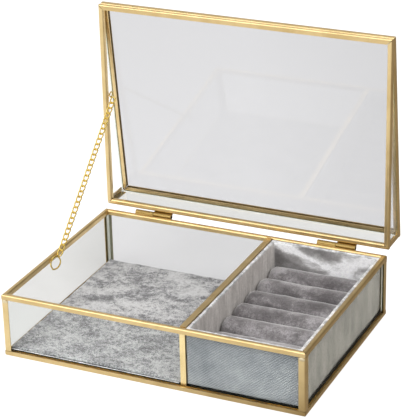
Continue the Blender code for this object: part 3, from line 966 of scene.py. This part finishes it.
class Dresser:
    """Gives pieces their finish and their body."""

    def __init__(self, palette: Palette) -> None:
        """Take the palette of finishes."""
        self.palette = palette
        self.made: dict[str, bpy.types.Material] = {}

    def material(self, finish: Finish) -> bpy.types.Material:
        """The material of a finish, built at its first use.

        Args:
            finish: One of the palette's finishes.

        Returns:
            The material.
        """
        if finish.name not in self.made:
            self.made[finish.name] = finish.material()
        return self.made[finish.name]

    def node(self, finish: Finish, *names: str) -> None:
        """Dress nodes of the frame.

        Args:
            finish: Their finish.
            names: The nodes.
        """
        for name in names:
            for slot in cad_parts[name].material_slots:
                slot.link = "OBJECT"
                slot.material = self.material(finish)
            LOG.info("dressed %s in %s", name, finish.name)

    def piece(self, piece: Object, finish: Finish, slot: str,
              body: str = Body.BASE.value, stands_for: tuple[str, ...] = ()) -> None:
        """Dress a new piece and hang it on its body.

        Args:
            piece: The piece.
            finish: Its finish.
            slot: Not used.
            body: The body it moves with.
            stands_for: The nodes it replaces.
        """
        piece.data.materials.clear()
        piece.data.materials.append(self.material(finish))
        if stands_for:
            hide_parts(*stands_for)
        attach(piece, body)
        LOG.info("made %s, %d faces, on %s", piece.name, len(piece.data.polygons), body)


def room(node: str) -> tuple[Vector, Vector]:
    """The lowest and highest corner of a node at rest."""
    low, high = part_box(node)
    return Vector(low), Vector(high)


# ---- base ---------------------------------------------------------------------------------
@dataclass
class BaseFrame:
    """The came of the base, its divider, the solder at its corners, and the painted shade strips and
    cut edges inside its back corners.
    """

    dresser: Dresser
    spot: Place = (2.1 * MM, 0.30 * MM, 1.155 * MM)
    spot_down: float = 0.9 * MM
    spot_wave: Wave = (1.5 * MM, 0.25 * MM)
    strip_thick: float = 0.3 * MM
    strip_gap: float = 0.05 * MM
    strip_ease: float = 0.1 * MM
    strip_cuts: int = 11

    def dress(self) -> None:
        """Give the came its brass, drawn along each strip."""
        palette = self.dresser.palette
        for level in ("bottom_rail_", "top_rail_"):
            self.dresser.node(palette.came_x, level + "front", level + "back")
            self.dresser.node(palette.came_y, level + "left", level + "right")
        self.dresser.node(palette.came_y, "divider_rail")
        self.dresser.node(palette.came_z, "divider_post_front", "divider_post_back", *(
            "corner_post_%s_%s" % (end, side)
            for end in ("front", "back") for side in ("left", "right")))

    def solder(self) -> None:
        """Make the flat solder spot at the top of each corner post."""
        for end in ("front", "back"):
            for side in ("left", "right"):
                low, high = room("corner_post_%s_%s" % (end, side))
                face_y = low.y if end == "front" else high.y
                self.spot_at("solder_%s_%s" % (end, side),
                             Vector(((low.x + high.x) / 2, face_y, high.z - self.spot_down)))

    def spot_at(self, name: str, middle: Vector) -> None:
        """Make one solder spot, flattened against a face that looks along Y.

        Args:
            name: The piece's name.
            middle: Where it sits.
        """
        Bench.clear()
        bpy.ops.mesh.primitive_ico_sphere_add(subdivisions=3, radius=1.0, location=middle,
                                              scale=self.spot)
        piece = Bench.named(name)
        Bench.ruffle(piece, self.spot_wave)
        Bench.smooth(piece, ROUND)
        self.dresser.piece(piece, self.dresser.palette.solder, "came_brass")

    def strip(self, name: str, low: Vector, high: Vector, finish: Finish) -> None:
        """Make one eased strip that stands in a corner.

        Args:
            name: The piece's name.
            low: Its lowest corner.
            high: Its highest corner.
            finish: Its finish.
        """
        piece = Bench.block(name, low, high)
        Bench.pick(piece, Part.EDGE, lambda c, d: abs(d.z) > 0.9)
        bpy.ops.mesh.subdivide(number_cuts=self.strip_cuts)
        Bench.done()
        Bench.modify(piece, "BEVEL", width=self.strip_ease, segments=2)
        Bench.smooth(piece, CRISP)
        self.dresser.piece(piece, finish, "came_brass")

    def seal(self) -> None:
        """Make the painted shade strips in the back corners, inside the glass, and the cut edges."""
        palette = self.dresser.palette
        inner_x, inner_y = abs(room("glass_left")[1].x), abs(room("glass_front")[1].y)
        low_z, high_z = room("corner_post_back_left")[0].z, room("corner_post_back_left")[1].z
        gap, thick = self.strip_gap, self.strip_thick
        for side, sign_x in (("left", -1), ("right", 1)):
            for kind, finish, near, far, wide in (
                    ("edge", palette.cut_edge, 0.05, 1.1, True),
                    ("seal", palette.seal, 1.15, 2.9, True),
                    ("cut", palette.cut_edge, 0.4, 2.0, False),
                    ("line", palette.line, 2.05, 2.6, False)):
                if wide:
                    xs = (inner_x - far * MM, inner_x - near * MM)
                    ys = (inner_y - gap - thick, inner_y - gap)
                else:
                    xs = (inner_x - gap - thick, inner_x - gap)
                    ys = (inner_y - far * MM, inner_y - near * MM)
                xs = sorted(sign_x * x for x in xs)
                self.strip("corner_%s_%s" % (kind, side), (xs[0], ys[0], low_z),
                           (xs[1], ys[1], high_z), finish)

    def build(self) -> None:
        """Dress the came and make its solder, its painted shade strips and its cut edges."""
        self.dress()
        self.solder()
        self.seal()


@dataclass
class Panes:
    """The glass of the base and of the lid."""

    dresser: Dresser

    def build(self) -> None:
        """Give each pane its glass."""
        palette = self.dresser.palette
        for finish, nodes in (
                (palette.front_glass, ("glass_front",)), (palette.back_glass, ("glass_back",)),
                (palette.side_glass, ("glass_left",)), (palette.right_glass, ("glass_right",)),
                (palette.divider_glass, ("glass_divider",)),
                (palette.lid_glass, ("lid_glass_top",)),
                (palette.lid_back_glass, ("lid_glass_back",)),
                (palette.lid_side_glass, ("lid_glass_left", "lid_glass_right"))):
            self.dresser.node(finish, *nodes)


@dataclass
class FloorPad:
    """The crushed-velvet pad of the open compartment, on its black card."""

    dresser: Dresser
    card_top: float = 3.9 * MM
    pad_low: float = 3.95 * MM
    pad_high: float = 5.3 * MM
    to_glass: float = 0.08 * MM
    voxel: float = 1.05 * MM
    cap: float = 0.45 * MM
    pressure: float = 4.0
    front_in: float = 0.55 * MM
    ease: float = 0.4 * MM
    card_gap: float = 0.1 * MM
    card_ease: float = 0.12 * MM
    folds: Wave = (16 * MM, 0.9 * MM)
    creases: Wave = (4 * MM, 0.45 * MM)
    turn_wide: float = 1.6 * MM
    turn_high: float = 0.9 * MM
    hollow_at: Place = (-94.5 * MM, 10.2 * MM, 5.1 * MM)
    hollow_span: tuple[float, float] = (6.0 * MM, 7.5 * MM)
    hollow_deep: float = 1.0 * MM
    thread_in: float = 1.2 * MM
    thread_off: float = 0.05 * MM
    thread_low: float = 3.98 * MM
    thread_high: float = 4.45 * MM
    thread_ease: float = 0.16 * MM
    thread_wave: Wave = (1.6 * MM, 0.3 * MM)
    thread_cuts: int = 90

    def limits(self) -> tuple[Vector, Vector]:
        """The room between the panes and the divider, above the bottom rails.

        Returns:
            The lowest and the highest corner.
        """
        left = room("glass_left")[1].x + self.to_glass
        front = room("glass_front")[1].y + self.to_glass
        right = room("divider_rail")[0].x - self.to_glass
        return Vector((left, front, self.pad_low)), Vector((right, -front, self.pad_high))

    def card(self) -> None:
        """Make the black card whose edge shows under the pad."""
        self.dresser.node(self.dresser.palette.board, "base_board")
        low, high = self.limits()
        rail_top = room("bottom_rail_front")[1].z
        piece = Bench.block("pad_card", (low.x, low.y, rail_top + self.card_gap),
                            (high.x, high.y, self.card_top))
        Bench.modify(piece, "BEVEL", width=self.card_ease, segments=2)
        Bench.smooth(piece, CRISP)
        self.dresser.piece(piece, self.dresser.palette.board, "black_board")

    def pad(self) -> None:
        """Make the pad as stuffed cloth."""
        low, high = self.limits()
        piece = Bench.block("floor_pad_velvet", (low.x, low.y + self.front_in, low.z), high)
        Bench.bevel(piece, lambda c, d: c.z > high.z - NEAR and abs(d.z) < 0.1, self.ease, 2)
        Bench.inflate(piece, self.voxel, self.cap, self.pressure)
        Bench.ruffle(piece, self.folds, "Z", self.top_group(piece))
        Bench.ruffle(piece, self.creases, "Z", "top")
        self.turn_up(piece, low)
        self.hollow(piece)
        self.tuck(piece, low, high)
        Bench.smooth(piece, ROUND)
        self.dresser.piece(piece, self.dresser.palette.pad, "crushed_velvet",
                           stands_for=("floor_pad",))

    def top_group(self, piece: Object) -> str:
        """Gather the pad's upper corners in a group, and return the group's name.

        Args:
            piece: The pad.

        Returns:
            The group's name.
        """
        group = piece.vertex_groups.new(name="top")
        middle = (self.pad_low + self.pad_high) / 2
        group.add([v.index for v in piece.data.vertices if v.co.z > middle], 1.0, "REPLACE")
        return group.name

    def turn_up(self, piece: Object, low: Vector) -> None:
        """Turn the pad's left edge up against the pane.

        Args:
            piece: The pad.
            low: The pad's lowest corner.
        """
        middle = (self.pad_low + self.pad_high) / 2
        for corner in piece.data.vertices:
            if corner.co.z > middle:
                side = max(0.0, 1 - (corner.co.x - low.x) / self.turn_wide)
                front = min(1.0, (corner.co.y - low.y) / self.turn_wide)
                corner.co.z += self.turn_high * side * max(front, 0.0)

    def hollow(self, piece: Object) -> None:
        """Press the shallow hollow where the chain lies when the lid is shut.

        Args:
            piece: The pad.
        """
        wide, long = self.hollow_span
        middle = Vector(self.hollow_at)
        for corner in piece.data.vertices:
            away = corner.co - middle
            reach = (away.x / wide) ** 2 + (away.y / long) ** 2
            corner.co.z = min(corner.co.z, middle.z + self.hollow_deep * reach)

    def tuck(self, piece: Object, low: Vector, high: Vector) -> None:
        """Keep the pad off the panes and the card.

        Args:
            piece: The pad.
            low: The lowest corner it may reach.
            high: The highest corner, but for its height.
        """
        for corner in piece.data.vertices:
            corner.co.x = min(max(corner.co.x, low.x), high.x)
            corner.co.y = min(max(corner.co.y, low.y), high.y)
            corner.co.z = max(corner.co.z, low.z)

    def thread(self) -> None:
        """Make the pale turned edge along the pad's front."""
        low, high = self.limits()
        piece = Bench.block(
            "pad_edge_thread",
            (low.x + self.thread_in, low.y + self.thread_off, self.thread_low),
            (high.x - self.thread_in, low.y + self.front_in, self.thread_high))
        Bench.pick(piece, Part.EDGE, lambda c, d: abs(d.x) > 0.9)
        bpy.ops.mesh.subdivide(number_cuts=self.thread_cuts)
        Bench.done()
        Bench.bevel(piece, lambda c, d: abs(d.x) > 0.9, self.thread_ease, 2)
        Bench.ruffle(piece, self.thread_wave)
        Bench.smooth(piece, ROUND)
        self.dresser.piece(piece, self.dresser.palette.thread, "crushed_velvet")

    def build(self) -> None:
        """Make the card, the pad and its edge."""
        self.card()
        self.pad()
        self.thread()


@dataclass
class RingTray:
    """The velvet-covered tray that holds the ring rolls."""

    dresser: Dresser
    wall: float = 1.0 * MM
    rim_wide: float = 2.1 * MM
    rim_low: float = 39.7 * MM
    rim_high: float = 41.2 * MM
    wrap_low: float = 4.1 * MM
    card_high: float = 5.0 * MM
    floors: tuple[float, float] = (1.2 * MM, 0.8 * MM)
    cloth_ease: float = 0.28 * MM
    cloth_voxel: float = 0.75 * MM
    wrap_wave: Wave = (14 * MM, 0.30 * MM)
    lining_wave: Wave = (18 * MM, 0.30 * MM)
    lining_in: float = 0.1 * MM
    lining_low: float = 1.3 * MM
    lining_over: float = 0.9 * MM
    rim_grow: float = 0.1 * MM
    rim_round: float = 0.6 * MM
    rim_voxel: float = 0.38 * MM
    rim_waves: tuple[Wave, ...] = ((2.6 * MM, 0.36 * MM), (9 * MM, 0.3 * MM))
    card_gap: float = 0.1 * MM
    card_off: float = 0.15 * MM
    card_cut: float = 1.2 * MM
    edge_thick: float = 0.55 * MM
    edge_low: float = 4.6 * MM
    edge_rise: float = 1.5 * MM
    edge_in: float = 0.3 * MM
    edge_cuts: int = 40

    def tub(self, name: str, low: Vector, high: Vector, floor: float) -> Object:
        """Make an open tub of one wall thickness.

        Args:
            name: The piece's name.
            low: Its lowest corner.
            high: Its highest corner.
            floor: Height of its inner floor over its underside.

        Returns:
            The tub.
        """
        piece = Bench.block(name, low, high)
        Bench.pick(piece, Part.FACE, lambda c, n: n.z > 0.9)
        bpy.ops.mesh.inset(thickness=self.wall)
        bpy.ops.mesh.extrude_region_move(
            TRANSFORM_OT_translate={"value": (0, 0, -(high.z - low.z - floor))})
        Bench.done()
        return piece

    def wrap(self, low: Vector, high: Vector) -> None:
        """Make the outer cloth.

        Args:
            low: The tray's lowest corner.
            high: The tray's highest corner.
        """
        bottom = Vector((low.x, low.y, self.wrap_low))
        top = Vector((high.x, high.y, self.rim_low))
        piece = self.tub("tray_wrap", bottom, top, self.floors[0])
        self.soften(piece, self.wrap_wave)
        self.dresser.piece(piece, self.dresser.palette.wrap, "tray_velvet")

    def soften(self, piece: Object, wave: Wave) -> None:
        """Ease the edges of a cloth wall and give it a soft unevenness.

        Args:
            piece: The wall.
            wave: The size and the depth of its waves.
        """
        Bench.modify(piece, "BEVEL", width=self.cloth_ease, segments=2)
        Bench.modify(piece, "REMESH", mode="VOXEL", voxel_size=self.cloth_voxel,
                     use_smooth_shade=True)
        Bench.ruffle(piece, wave)
        Bench.modify(piece, "SMOOTH", factor=0.5, iterations=3)

    def lining(self, low: Vector, high: Vector) -> None:
        """Make the inner cloth: four walls and a floor.

        Args:
            low: The tray's lowest corner.
            high: The tray's highest corner.
        """
        inset = Vector((self.wall + self.lining_in, self.wall + self.lining_in, 0))
        bottom = low + inset
        bottom.z = self.wrap_low + self.lining_low
        top = high - inset
        top.z = self.rim_low + self.lining_over
        piece = self.tub("tray_lining", bottom, top, self.floors[1])
        self.soften(piece, self.lining_wave)
        self.dresser.piece(piece, self.dresser.palette.lining, "tray_velvet",
                           stands_for=("ring_tray",))

    def rim(self, low: Vector, high: Vector) -> None:
        """Make the rounded, velvet-wrapped rim.

        Args:
            low: The tray's lowest corner.
            high: The tray's highest corner.
        """
        grow = self.rim_grow
        piece = Bench.block("tray_rim", (low.x - grow, low.y - grow, self.rim_low),
                            (high.x + grow, high.y + grow, self.rim_high))
        Bench.pick(piece, Part.FACE, lambda c, n: abs(n.z) > 0.9)
        bpy.ops.mesh.inset(thickness=self.rim_wide)
        bpy.ops.mesh.bridge_edge_loops()
        Bench.done()
        Bench.modify(piece, "BEVEL", width=self.rim_round, segments=4)
        Bench.modify(piece, "REMESH", mode="VOXEL", voxel_size=self.rim_voxel,
                     use_smooth_shade=True)
        for wave in self.rim_waves:
            Bench.ruffle(piece, wave)
        self.dresser.piece(piece, self.dresser.palette.rim, "tray_velvet")

    def card(self, low: Vector, high: Vector) -> None:
        """Make the black card under the tray, out to the glass.

        Args:
            low: The tray's lowest corner.
            high: The tray's highest corner.
        """
        rail_top = room("bottom_rail_front")[1].z
        front = room("glass_front")[1].y + self.card_off
        right = room("glass_right")[0].x - self.card_off
        piece = Bench.block("tray_card", (low.x, front, rail_top + self.card_gap),
                            (right, -front, self.card_high))
        Bench.shift(piece, lambda c, n: c.z > self.card_high - NEAR and (
            c.x < low.x + MM or c.y < front + MM), (0, 0, -self.card_cut))
        Bench.modify(piece, "BEVEL", width=0.15 * MM, segments=2)
        Bench.smooth(piece, CRISP)
        self.dresser.piece(piece, self.dresser.palette.board, "black_board")

    def card_edge(self, low: Vector, high: Vector) -> None:
        """Make the black card that stands against the right pane, its top cut by hand.

        Args:
            low: The tray's lowest corner.
            high: The tray's highest corner.
        """
        pane = room("glass_right")[0].x - self.card_gap
        base = room("bottom_rail_front")[1].z + self.card_gap
        front, back = low.y + self.edge_in, high.y - self.edge_in
        piece = Bench.block("tray_card_edge", (pane - self.edge_thick, front, base),
                            (pane, back, self.edge_low))
        Bench.pick(piece, Part.EDGE, lambda c, d: abs(d.y) > 0.9)
        bpy.ops.mesh.subdivide(number_cuts=self.edge_cuts)
        Bench.done()
        for corner in piece.data.vertices:
            if corner.co.z > self.edge_low - NEAR:
                share = min(max((corner.co.y - front) / (back - front), 0.0), 1.0)
                wave = 0.86 + 0.14 * math.sin(19.0 * share + 0.6)
                corner.co.z += self.edge_rise * wave * math.sin(math.pi * share) ** 0.55
        Bench.modify(piece, "BEVEL", width=0.12 * MM, segments=2)
        Bench.smooth(piece, CRISP)
        self.dresser.piece(piece, self.dresser.palette.board, "black_board")

    def build(self) -> None:
        """Make the wrap, the lining, the rim and the card."""
        low, high = room("ring_tray")
        self.card_edge(low, high)
        self.wrap(low, high)
        self.lining(low, high)
        self.rim(low, high)
        self.card(low, high)


@dataclass
class RingRolls:
    """The soft rolls that grip rings."""

    dresser: Dresser
    count: int = 7
    end_round: float = 4.6 * MM
    side_in: float = 0.35 * MM
    top_in: float = 0.3 * MM
    shorter: float = 1.0 * MM
    bed: float = 6.6 * MM
    sink: tuple[float, ...] = (0.16, 0.10)
    voxel: float = 1.5 * MM
    cap: float = 0.7 * MM
    pressure: float = 6.0
    waves: tuple[Wave, ...] = ((11 * MM, 0.9 * MM), (4 * MM, 0.25 * MM))

    def first(self) -> Object:
        """Model the first roll and puff it up.

        Returns:
            The roll.
        """
        low, high = room("ring_roll_1")
        half = (high.y - low.y) / 2 - self.side_in
        bed = self.bed
        crown_z = high.z - half - self.top_in
        length = high.x - low.x - self.shorter
        middle = (low + high) / 2
        Bench.clear()
        bpy.ops.mesh.primitive_cylinder_add(
            vertices=40, radius=half, depth=length, location=(middle.x, middle.y, crown_z),
            rotation=(0, math.radians(90), 0))
        piece = Bench.named("ring_roll_velvet_1")
        Bench.pick(piece, Part.FACE, lambda c, n: True)
        bpy.ops.mesh.bisect(plane_co=(middle.x, middle.y, crown_z), plane_no=(0, 0, 1),
                            use_fill=True, clear_inner=True)
        Bench.done()
        Bench.pull(piece, lambda c, n: n.z < -0.9, (0, 0, bed - crown_z))
        Bench.bevel(piece, lambda c, d: abs(abs(c.x - middle.x) - length / 2) < NEAR
                    and c.z > bed + 0.2 * MM and abs(d.x) < 0.1, self.end_round, 6)
        Bench.inflate(piece, self.voxel, self.cap, self.pressure)
        return piece

    def build(self) -> None:
        """Make every roll from the first, each with its own unevenness."""
        step = room("ring_roll_2")[0].y - room("ring_roll_1")[0].y
        first = self.first()
        rolls = [first] + [Bench.copy(first, "ring_roll_velvet_%d" % (index + 1))
                           for index in range(1, self.count)]
        for index, piece in enumerate(rolls):
            Bench.place(piece, Matrix.Translation((0, step * index, 0)))
            if index < len(self.sink):
                for corner in piece.data.vertices:
                    corner.co.z -= (corner.co.z - self.bed) * self.sink[index]
            for wave in self.waves:
                Bench.ruffle(piece, wave)
            Bench.subdivide(piece, 1)
            Bench.smooth(piece, ROUND)
            self.dresser.piece(piece, self.dresser.palette.rolls, "roll_velvet",
                               stands_for=("ring_roll_%d" % (index + 1),))


# ---- lid and hinges -----------------------------------------------------------------------
@dataclass
class Lid:
    """The brass of the lid."""

    dresser: Dresser

    def build(self) -> None:
        """Give the lid's came its brass."""
        palette = self.dresser.palette
        for level in ("lid_rim_", "lid_top_rail_"):
            self.dresser.node(palette.came_x, level + "front", level + "back")
            self.dresser.node(palette.came_z, level + "left", level + "right")
        self.dresser.node(palette.came_y, "lid_post_left", "lid_post_right")


@dataclass
class Hinges:
    """The hinge tubes, their pins and the solder that holds them."""

    dresser: Dresser

    def build(self) -> None:
        """Dress the hinges."""
        palette = self.dresser.palette
        for side in ("left", "right"):
            self.dresser.node(palette.hinge, "hinge_tube_base_" + side, "hinge_tube_lid_" + side)
            self.dresser.node(palette.pin, "hinge_pin_" + side)


# ---- stay chain ---------------------------------------------------------------------------
@dataclass
class StayChain:
    """The curb chain that stops the lid, and the two wire eyes that it hangs on.

    Its places are in millimetres.
    """

    dresser: Dresser
    links: tuple[int, ...] = (3, 4, 4, 4, 4, 4, 4, 3)
    low_end: Place = (-94.8, -5.1, 40.5)
    high_end: Place = (-94.0, 77.2, 119.3)
    wire: float = 0.47 * MM
    half_wide: float = 1.56 * MM
    twist: float = 56.0
    base_eye_at: Place = (-95.1, -10.45, 37.6)
    base_eye_size: tuple[float, float] = (4.3 * MM, 0.50 * MM)
    base_eye_flat: tuple[float, float] = (-2.9 * MM, 0.9 * MM)
    base_eye_swing: float = -24.0
    base_blob_at: Place = (-96.6, -13.0, 39.3)
    lid_eye_size: tuple[float, float] = (1.75 * MM, 0.42 * MM)
    lid_blob_off: Place = (-0.5, -2.0, 0.4)
    blob_size: float = 0.9 * MM
    blob_shape: Place = (0.7, 1.3, 0.8)
    blob_wave: Wave = (0.9 * MM, 0.3 * MM)

    def link(self, pitch: float) -> Object:
        """Model one twisted link, its length along X.

        Args:
            pitch: From one link to the next.

        Returns:
            The link.
        """
        piece = Bench.wire_ring("chain_link_01", self.half_wide, self.wire, 20, 8)
        reach = pitch / 2 + self.wire - self.half_wide
        Bench.shift(piece, lambda c, n: c.x > 0.01 * MM, (reach, 0, 0))
        Bench.shift(piece, lambda c, n: c.x < -0.01 * MM, (-reach, 0, 0))
        Bench.modify(piece, "SIMPLE_DEFORM", deform_method="TWIST", deform_axis="X",
                     angle=math.radians(self.twist))
        Bench.smooth(piece, ROUND)
        return piece

    def build(self) -> None:
        """Make the links and the two eyes."""
        total = sum(self.links)
        start = Vector(self.low_end) * MM
        span = Vector(self.high_end) * MM - start
        pitch = span.length / total
        first = self.link(pitch)
        along = span.normalized()
        across = Vector((1.0, 0.0, 0.0))
        across = (across - along * across.dot(along)).normalized()
        frame_of = Matrix((along, across, along.cross(across))).transposed().to_4x4()
        made = [first] + [Bench.copy(first, "chain_link_%02d" % (index + 1))
                          for index in range(1, total)]
        index = 0
        for run, count in enumerate(self.links, start=1):
            body = "chain_run_%d" % run
            for step in range(count):
                middle = start + along * (pitch * (index + 0.5))
                Bench.place(made[index], Matrix.Translation(middle) @ frame_of)
                stands_for = (body,) if step == 0 else ()
                self.dresser.piece(made[index], self.dresser.palette.chain, "chain_brass", body,
                                   stands_for)
                index += 1
        self.base_eye()
        self.lid_eye()

    def base_eye(self) -> None:
        """Make the D-shaped wire eye that hangs on the left rail."""
        piece = Bench.wire_ring("chain_eye_base", *self.base_eye_size)
        below, lift = self.base_eye_flat
        Bench.shift(piece, lambda c, n: c.y < below, (0, lift, 0))
        swing = Matrix.Rotation(math.radians(self.base_eye_swing), 4, "Z")
        middle = Vector(self.base_eye_at) * MM
        Bench.place(piece, Matrix.Translation(middle) @ swing @ UPRIGHT)
        Bench.smooth(piece, ROUND)
        self.dresser.piece(piece, self.dresser.palette.chain, "chain_brass",
                           stands_for=("chain_ring_base",))
        self.blob("chain_eye_solder", Vector(self.base_blob_at) * MM, Body.BASE.value)

    def lid_eye(self) -> None:
        """Make the small eye on the lid, and the wire that holds it."""
        low, high = room("chain_ring_lid")
        middle = (low + high) / 2
        piece = Bench.wire_ring("chain_eye_lid", *self.lid_eye_size, 24, 8)
        Bench.place(piece, Matrix.Translation(middle) @ UPRIGHT)
        Bench.smooth(piece, ROUND)
        self.dresser.piece(piece, self.dresser.palette.chain, "chain_brass", Body.LID.value,
                           ("chain_ring_lid",))
        self.blob("lid_eye_solder", middle + Vector(self.lid_blob_off) * MM, Body.LID.value)

    def blob(self, name: str, middle: Vector, body: str) -> None:
        """Make a small uneven blob of solder.

        Args:
            name: The piece's name.
            middle: Where it sits.
            body: The body it moves with.
        """
        Bench.clear()
        bpy.ops.mesh.primitive_ico_sphere_add(subdivisions=3, radius=self.blob_size,
                                              location=middle, scale=self.blob_shape)
        piece = Bench.named(name)
        Bench.ruffle(piece, self.blob_wave)
        Bench.smooth(piece, ROUND)
        self.dresser.piece(piece, self.dresser.palette.solder, "chain_brass", body)


# ---- studio -------------------------------------------------------------------------------
@dataclass(frozen=True)
class Lamp:
    """A soft square lamp that looks at the box, hidden from polished faces if not glossy."""

    name: str
    place: Place
    size: float
    power: float
    glossy: bool = True
    aim: Place = (0, 0, 0.06)

    def hang(self) -> None:
        """Hang the lamp."""
        Bench.clear()
        aim = (Vector(self.aim) - Vector(self.place)).to_track_quat("-Z", "Y").to_euler()
        bpy.ops.object.light_add(type="AREA", location=self.place, rotation=aim)
        lamp = bpy.context.active_object
        lamp.name = self.name
        lamp.data.size = self.size
        lamp.data.energy = self.power
        lamp.visible_glossy = self.glossy


@dataclass
class Studio:
    """The pale floor, the soft lamps and the camera."""

    eye: Place = (0.4419, -0.9331, 0.5474)
    target: Place = (-0.2224, 0.4827, -0.1507)
    roll: float = -0.0255
    lens: float = 159.2
    sensor: float = 36.0
    near: float = 0.01
    floor_size: float = 9.0
    floor_down: float = 0.0002
    floor_glow: float = 0.86
    floor_paint: Colour = (0.30, 0.30, 0.30)
    # painted reflection: the gradient glossy rays see on the floor, near-white at the front left,
    # dark brown at the right and back
    painted_reflection_span: tuple[float, float] = (-0.12, 0.05)
    painted_reflection: Stops = ((0.0, (0.98, 0.97, 0.94)), (1.0, (0.30, 0.255, 0.20)))
    sky: Stops = ((0.0, (0.10, 0.078, 0.050)), (0.45, (0.86, 0.84, 0.80)),
                  (1.0, (0.95, 0.95, 0.95)))
    sky_tilt: tuple[float, float] = (-0.55, -0.30)
    sky_span: tuple[float, float] = (-0.6, 0.6)
    sky_strength: float = 0.75
    lamps: tuple[Lamp, ...] = (
        Lamp("key_lamp", (-0.9, -1.3, 1.25), 1.0, 10.0),
        Lamp("key_fill", (-0.7, -1.4, 1.25), 1.0, 7.0, glossy=False),
        Lamp("top_lamp", (0.1, 0.05, 1.6), 1.2, 7.0),
        Lamp("right_fill", (1.1, -0.2, 1.3), 1.2, 15.0, glossy=False))

    def floor(self) -> None:
        """Make the floor, bright enough to lose all but the nearest shade; glossy rays see a painted
        reflection on it instead.
        """
        Bench.clear()
        bpy.ops.mesh.primitive_plane_add(size=self.floor_size, location=(0, 0, -self.floor_down))
        plane = Bench.named("studio_floor")
        sheet = Sheet("floor_white")
        wire = sheet.wire
        grain = wire.noise(sheet.place, 3.0, 2.0)
        where = wire.split(sheet.place)
        reach = wire.math("ADD", where[0], where[1])
        # painted reflection: glossy rays see this glowing gradient instead of the floor's even white
        painted_reflection_colour = wire.ramp(wire.span(reach, *self.painted_reflection_span), self.painted_reflection)
        path = wire.add("LightPath").outputs
        mirror = wire.math("SUBTRACT", path["Is Glossy Ray"], path["Is Transmission Ray"],
                           clamp=True)
        white = wire.ramp(grain, ((0.0, (0.985, 0.985, 0.985)), (1.0, (1.0, 1.0, 1.0))))
        glow = wire.add("Emission", {"Color": white, "Strength": self.floor_glow})
        painted_reflection = wire.add("Emission", {"Color": painted_reflection_colour, "Strength": 1.0})
        paint = wire.add("BsdfDiffuse", {"Color": self.floor_paint})
        both = wire.add("AddShader", {0: glow.outputs[0], 1: paint.outputs[0]})
        whole = wire.add("MixShader", {0: mirror, 1: both.outputs[0], 2: painted_reflection.outputs[0]})
        wire.feed(wire.add("OutputMaterial").inputs["Surface"], whole.outputs[0])
        plane.data.materials.append(sheet.material)

    def world(self) -> None:
        """Light the room: brighter to the left and front than to the right and back."""
        world = bpy.data.worlds.new("studio_room")
        bpy.context.scene.world = world
        world.use_nodes = True
        wire = Wiring(world.node_tree)
        world.node_tree.nodes.clear()
        way = wire.split(wire.add("TexCoord").outputs["Generated"])
        side = wire.weigh(way[0], self.sky_tilt[0], way[1], self.sky_tilt[1])
        shade = wire.ramp(wire.span(side, *self.sky_span), self.sky)
        sky = wire.add("Background", {"Color": shade, "Strength": self.sky_strength})
        wire.feed(wire.add("OutputWorld").inputs["Surface"], sky.outputs[0])

    def camera(self) -> None:
        """Set up the camera."""
        data = bpy.data.cameras.new("studio_camera")
        data.lens = self.lens
        data.sensor_width = self.sensor
        data.clip_start = self.near
        camera = bpy.data.objects.new("studio_camera", data)
        bpy.context.scene.collection.objects.link(camera)
        eye = Vector(self.eye)
        back = (eye - Vector(self.target)).normalized()
        right = Vector((0, 0, 1)).cross(back).normalized()
        up = back.cross(right)
        cos, sin = math.cos(self.roll), math.sin(self.roll)
        turned = Matrix((right * cos + up * sin, up * cos - right * sin, back)).transposed()
        camera.matrix_world = Matrix.Translation(eye) @ turned.to_4x4()
        bpy.context.scene.camera = camera

    def build(self) -> None:
        """Set the whole studio up."""
        self.floor()
        self.world()
        for lamp in self.lamps:
            lamp.hang()
        self.camera()
        bpy.context.scene.view_settings.view_transform = "Standard"


def main() -> None:
    """Build the box's looks in order, then set up the studio."""
    logging.basicConfig(level=logging.INFO, format="%(name)s: %(message)s")
    dresser = Dresser(Palette())
    for assembly in (BaseFrame, Panes, FloorPad, RingTray, RingRolls, Lid, Hinges, StayChain):
        assembly(dresser).build()
    Studio().build()


if __name__ == "__main__":
    main()
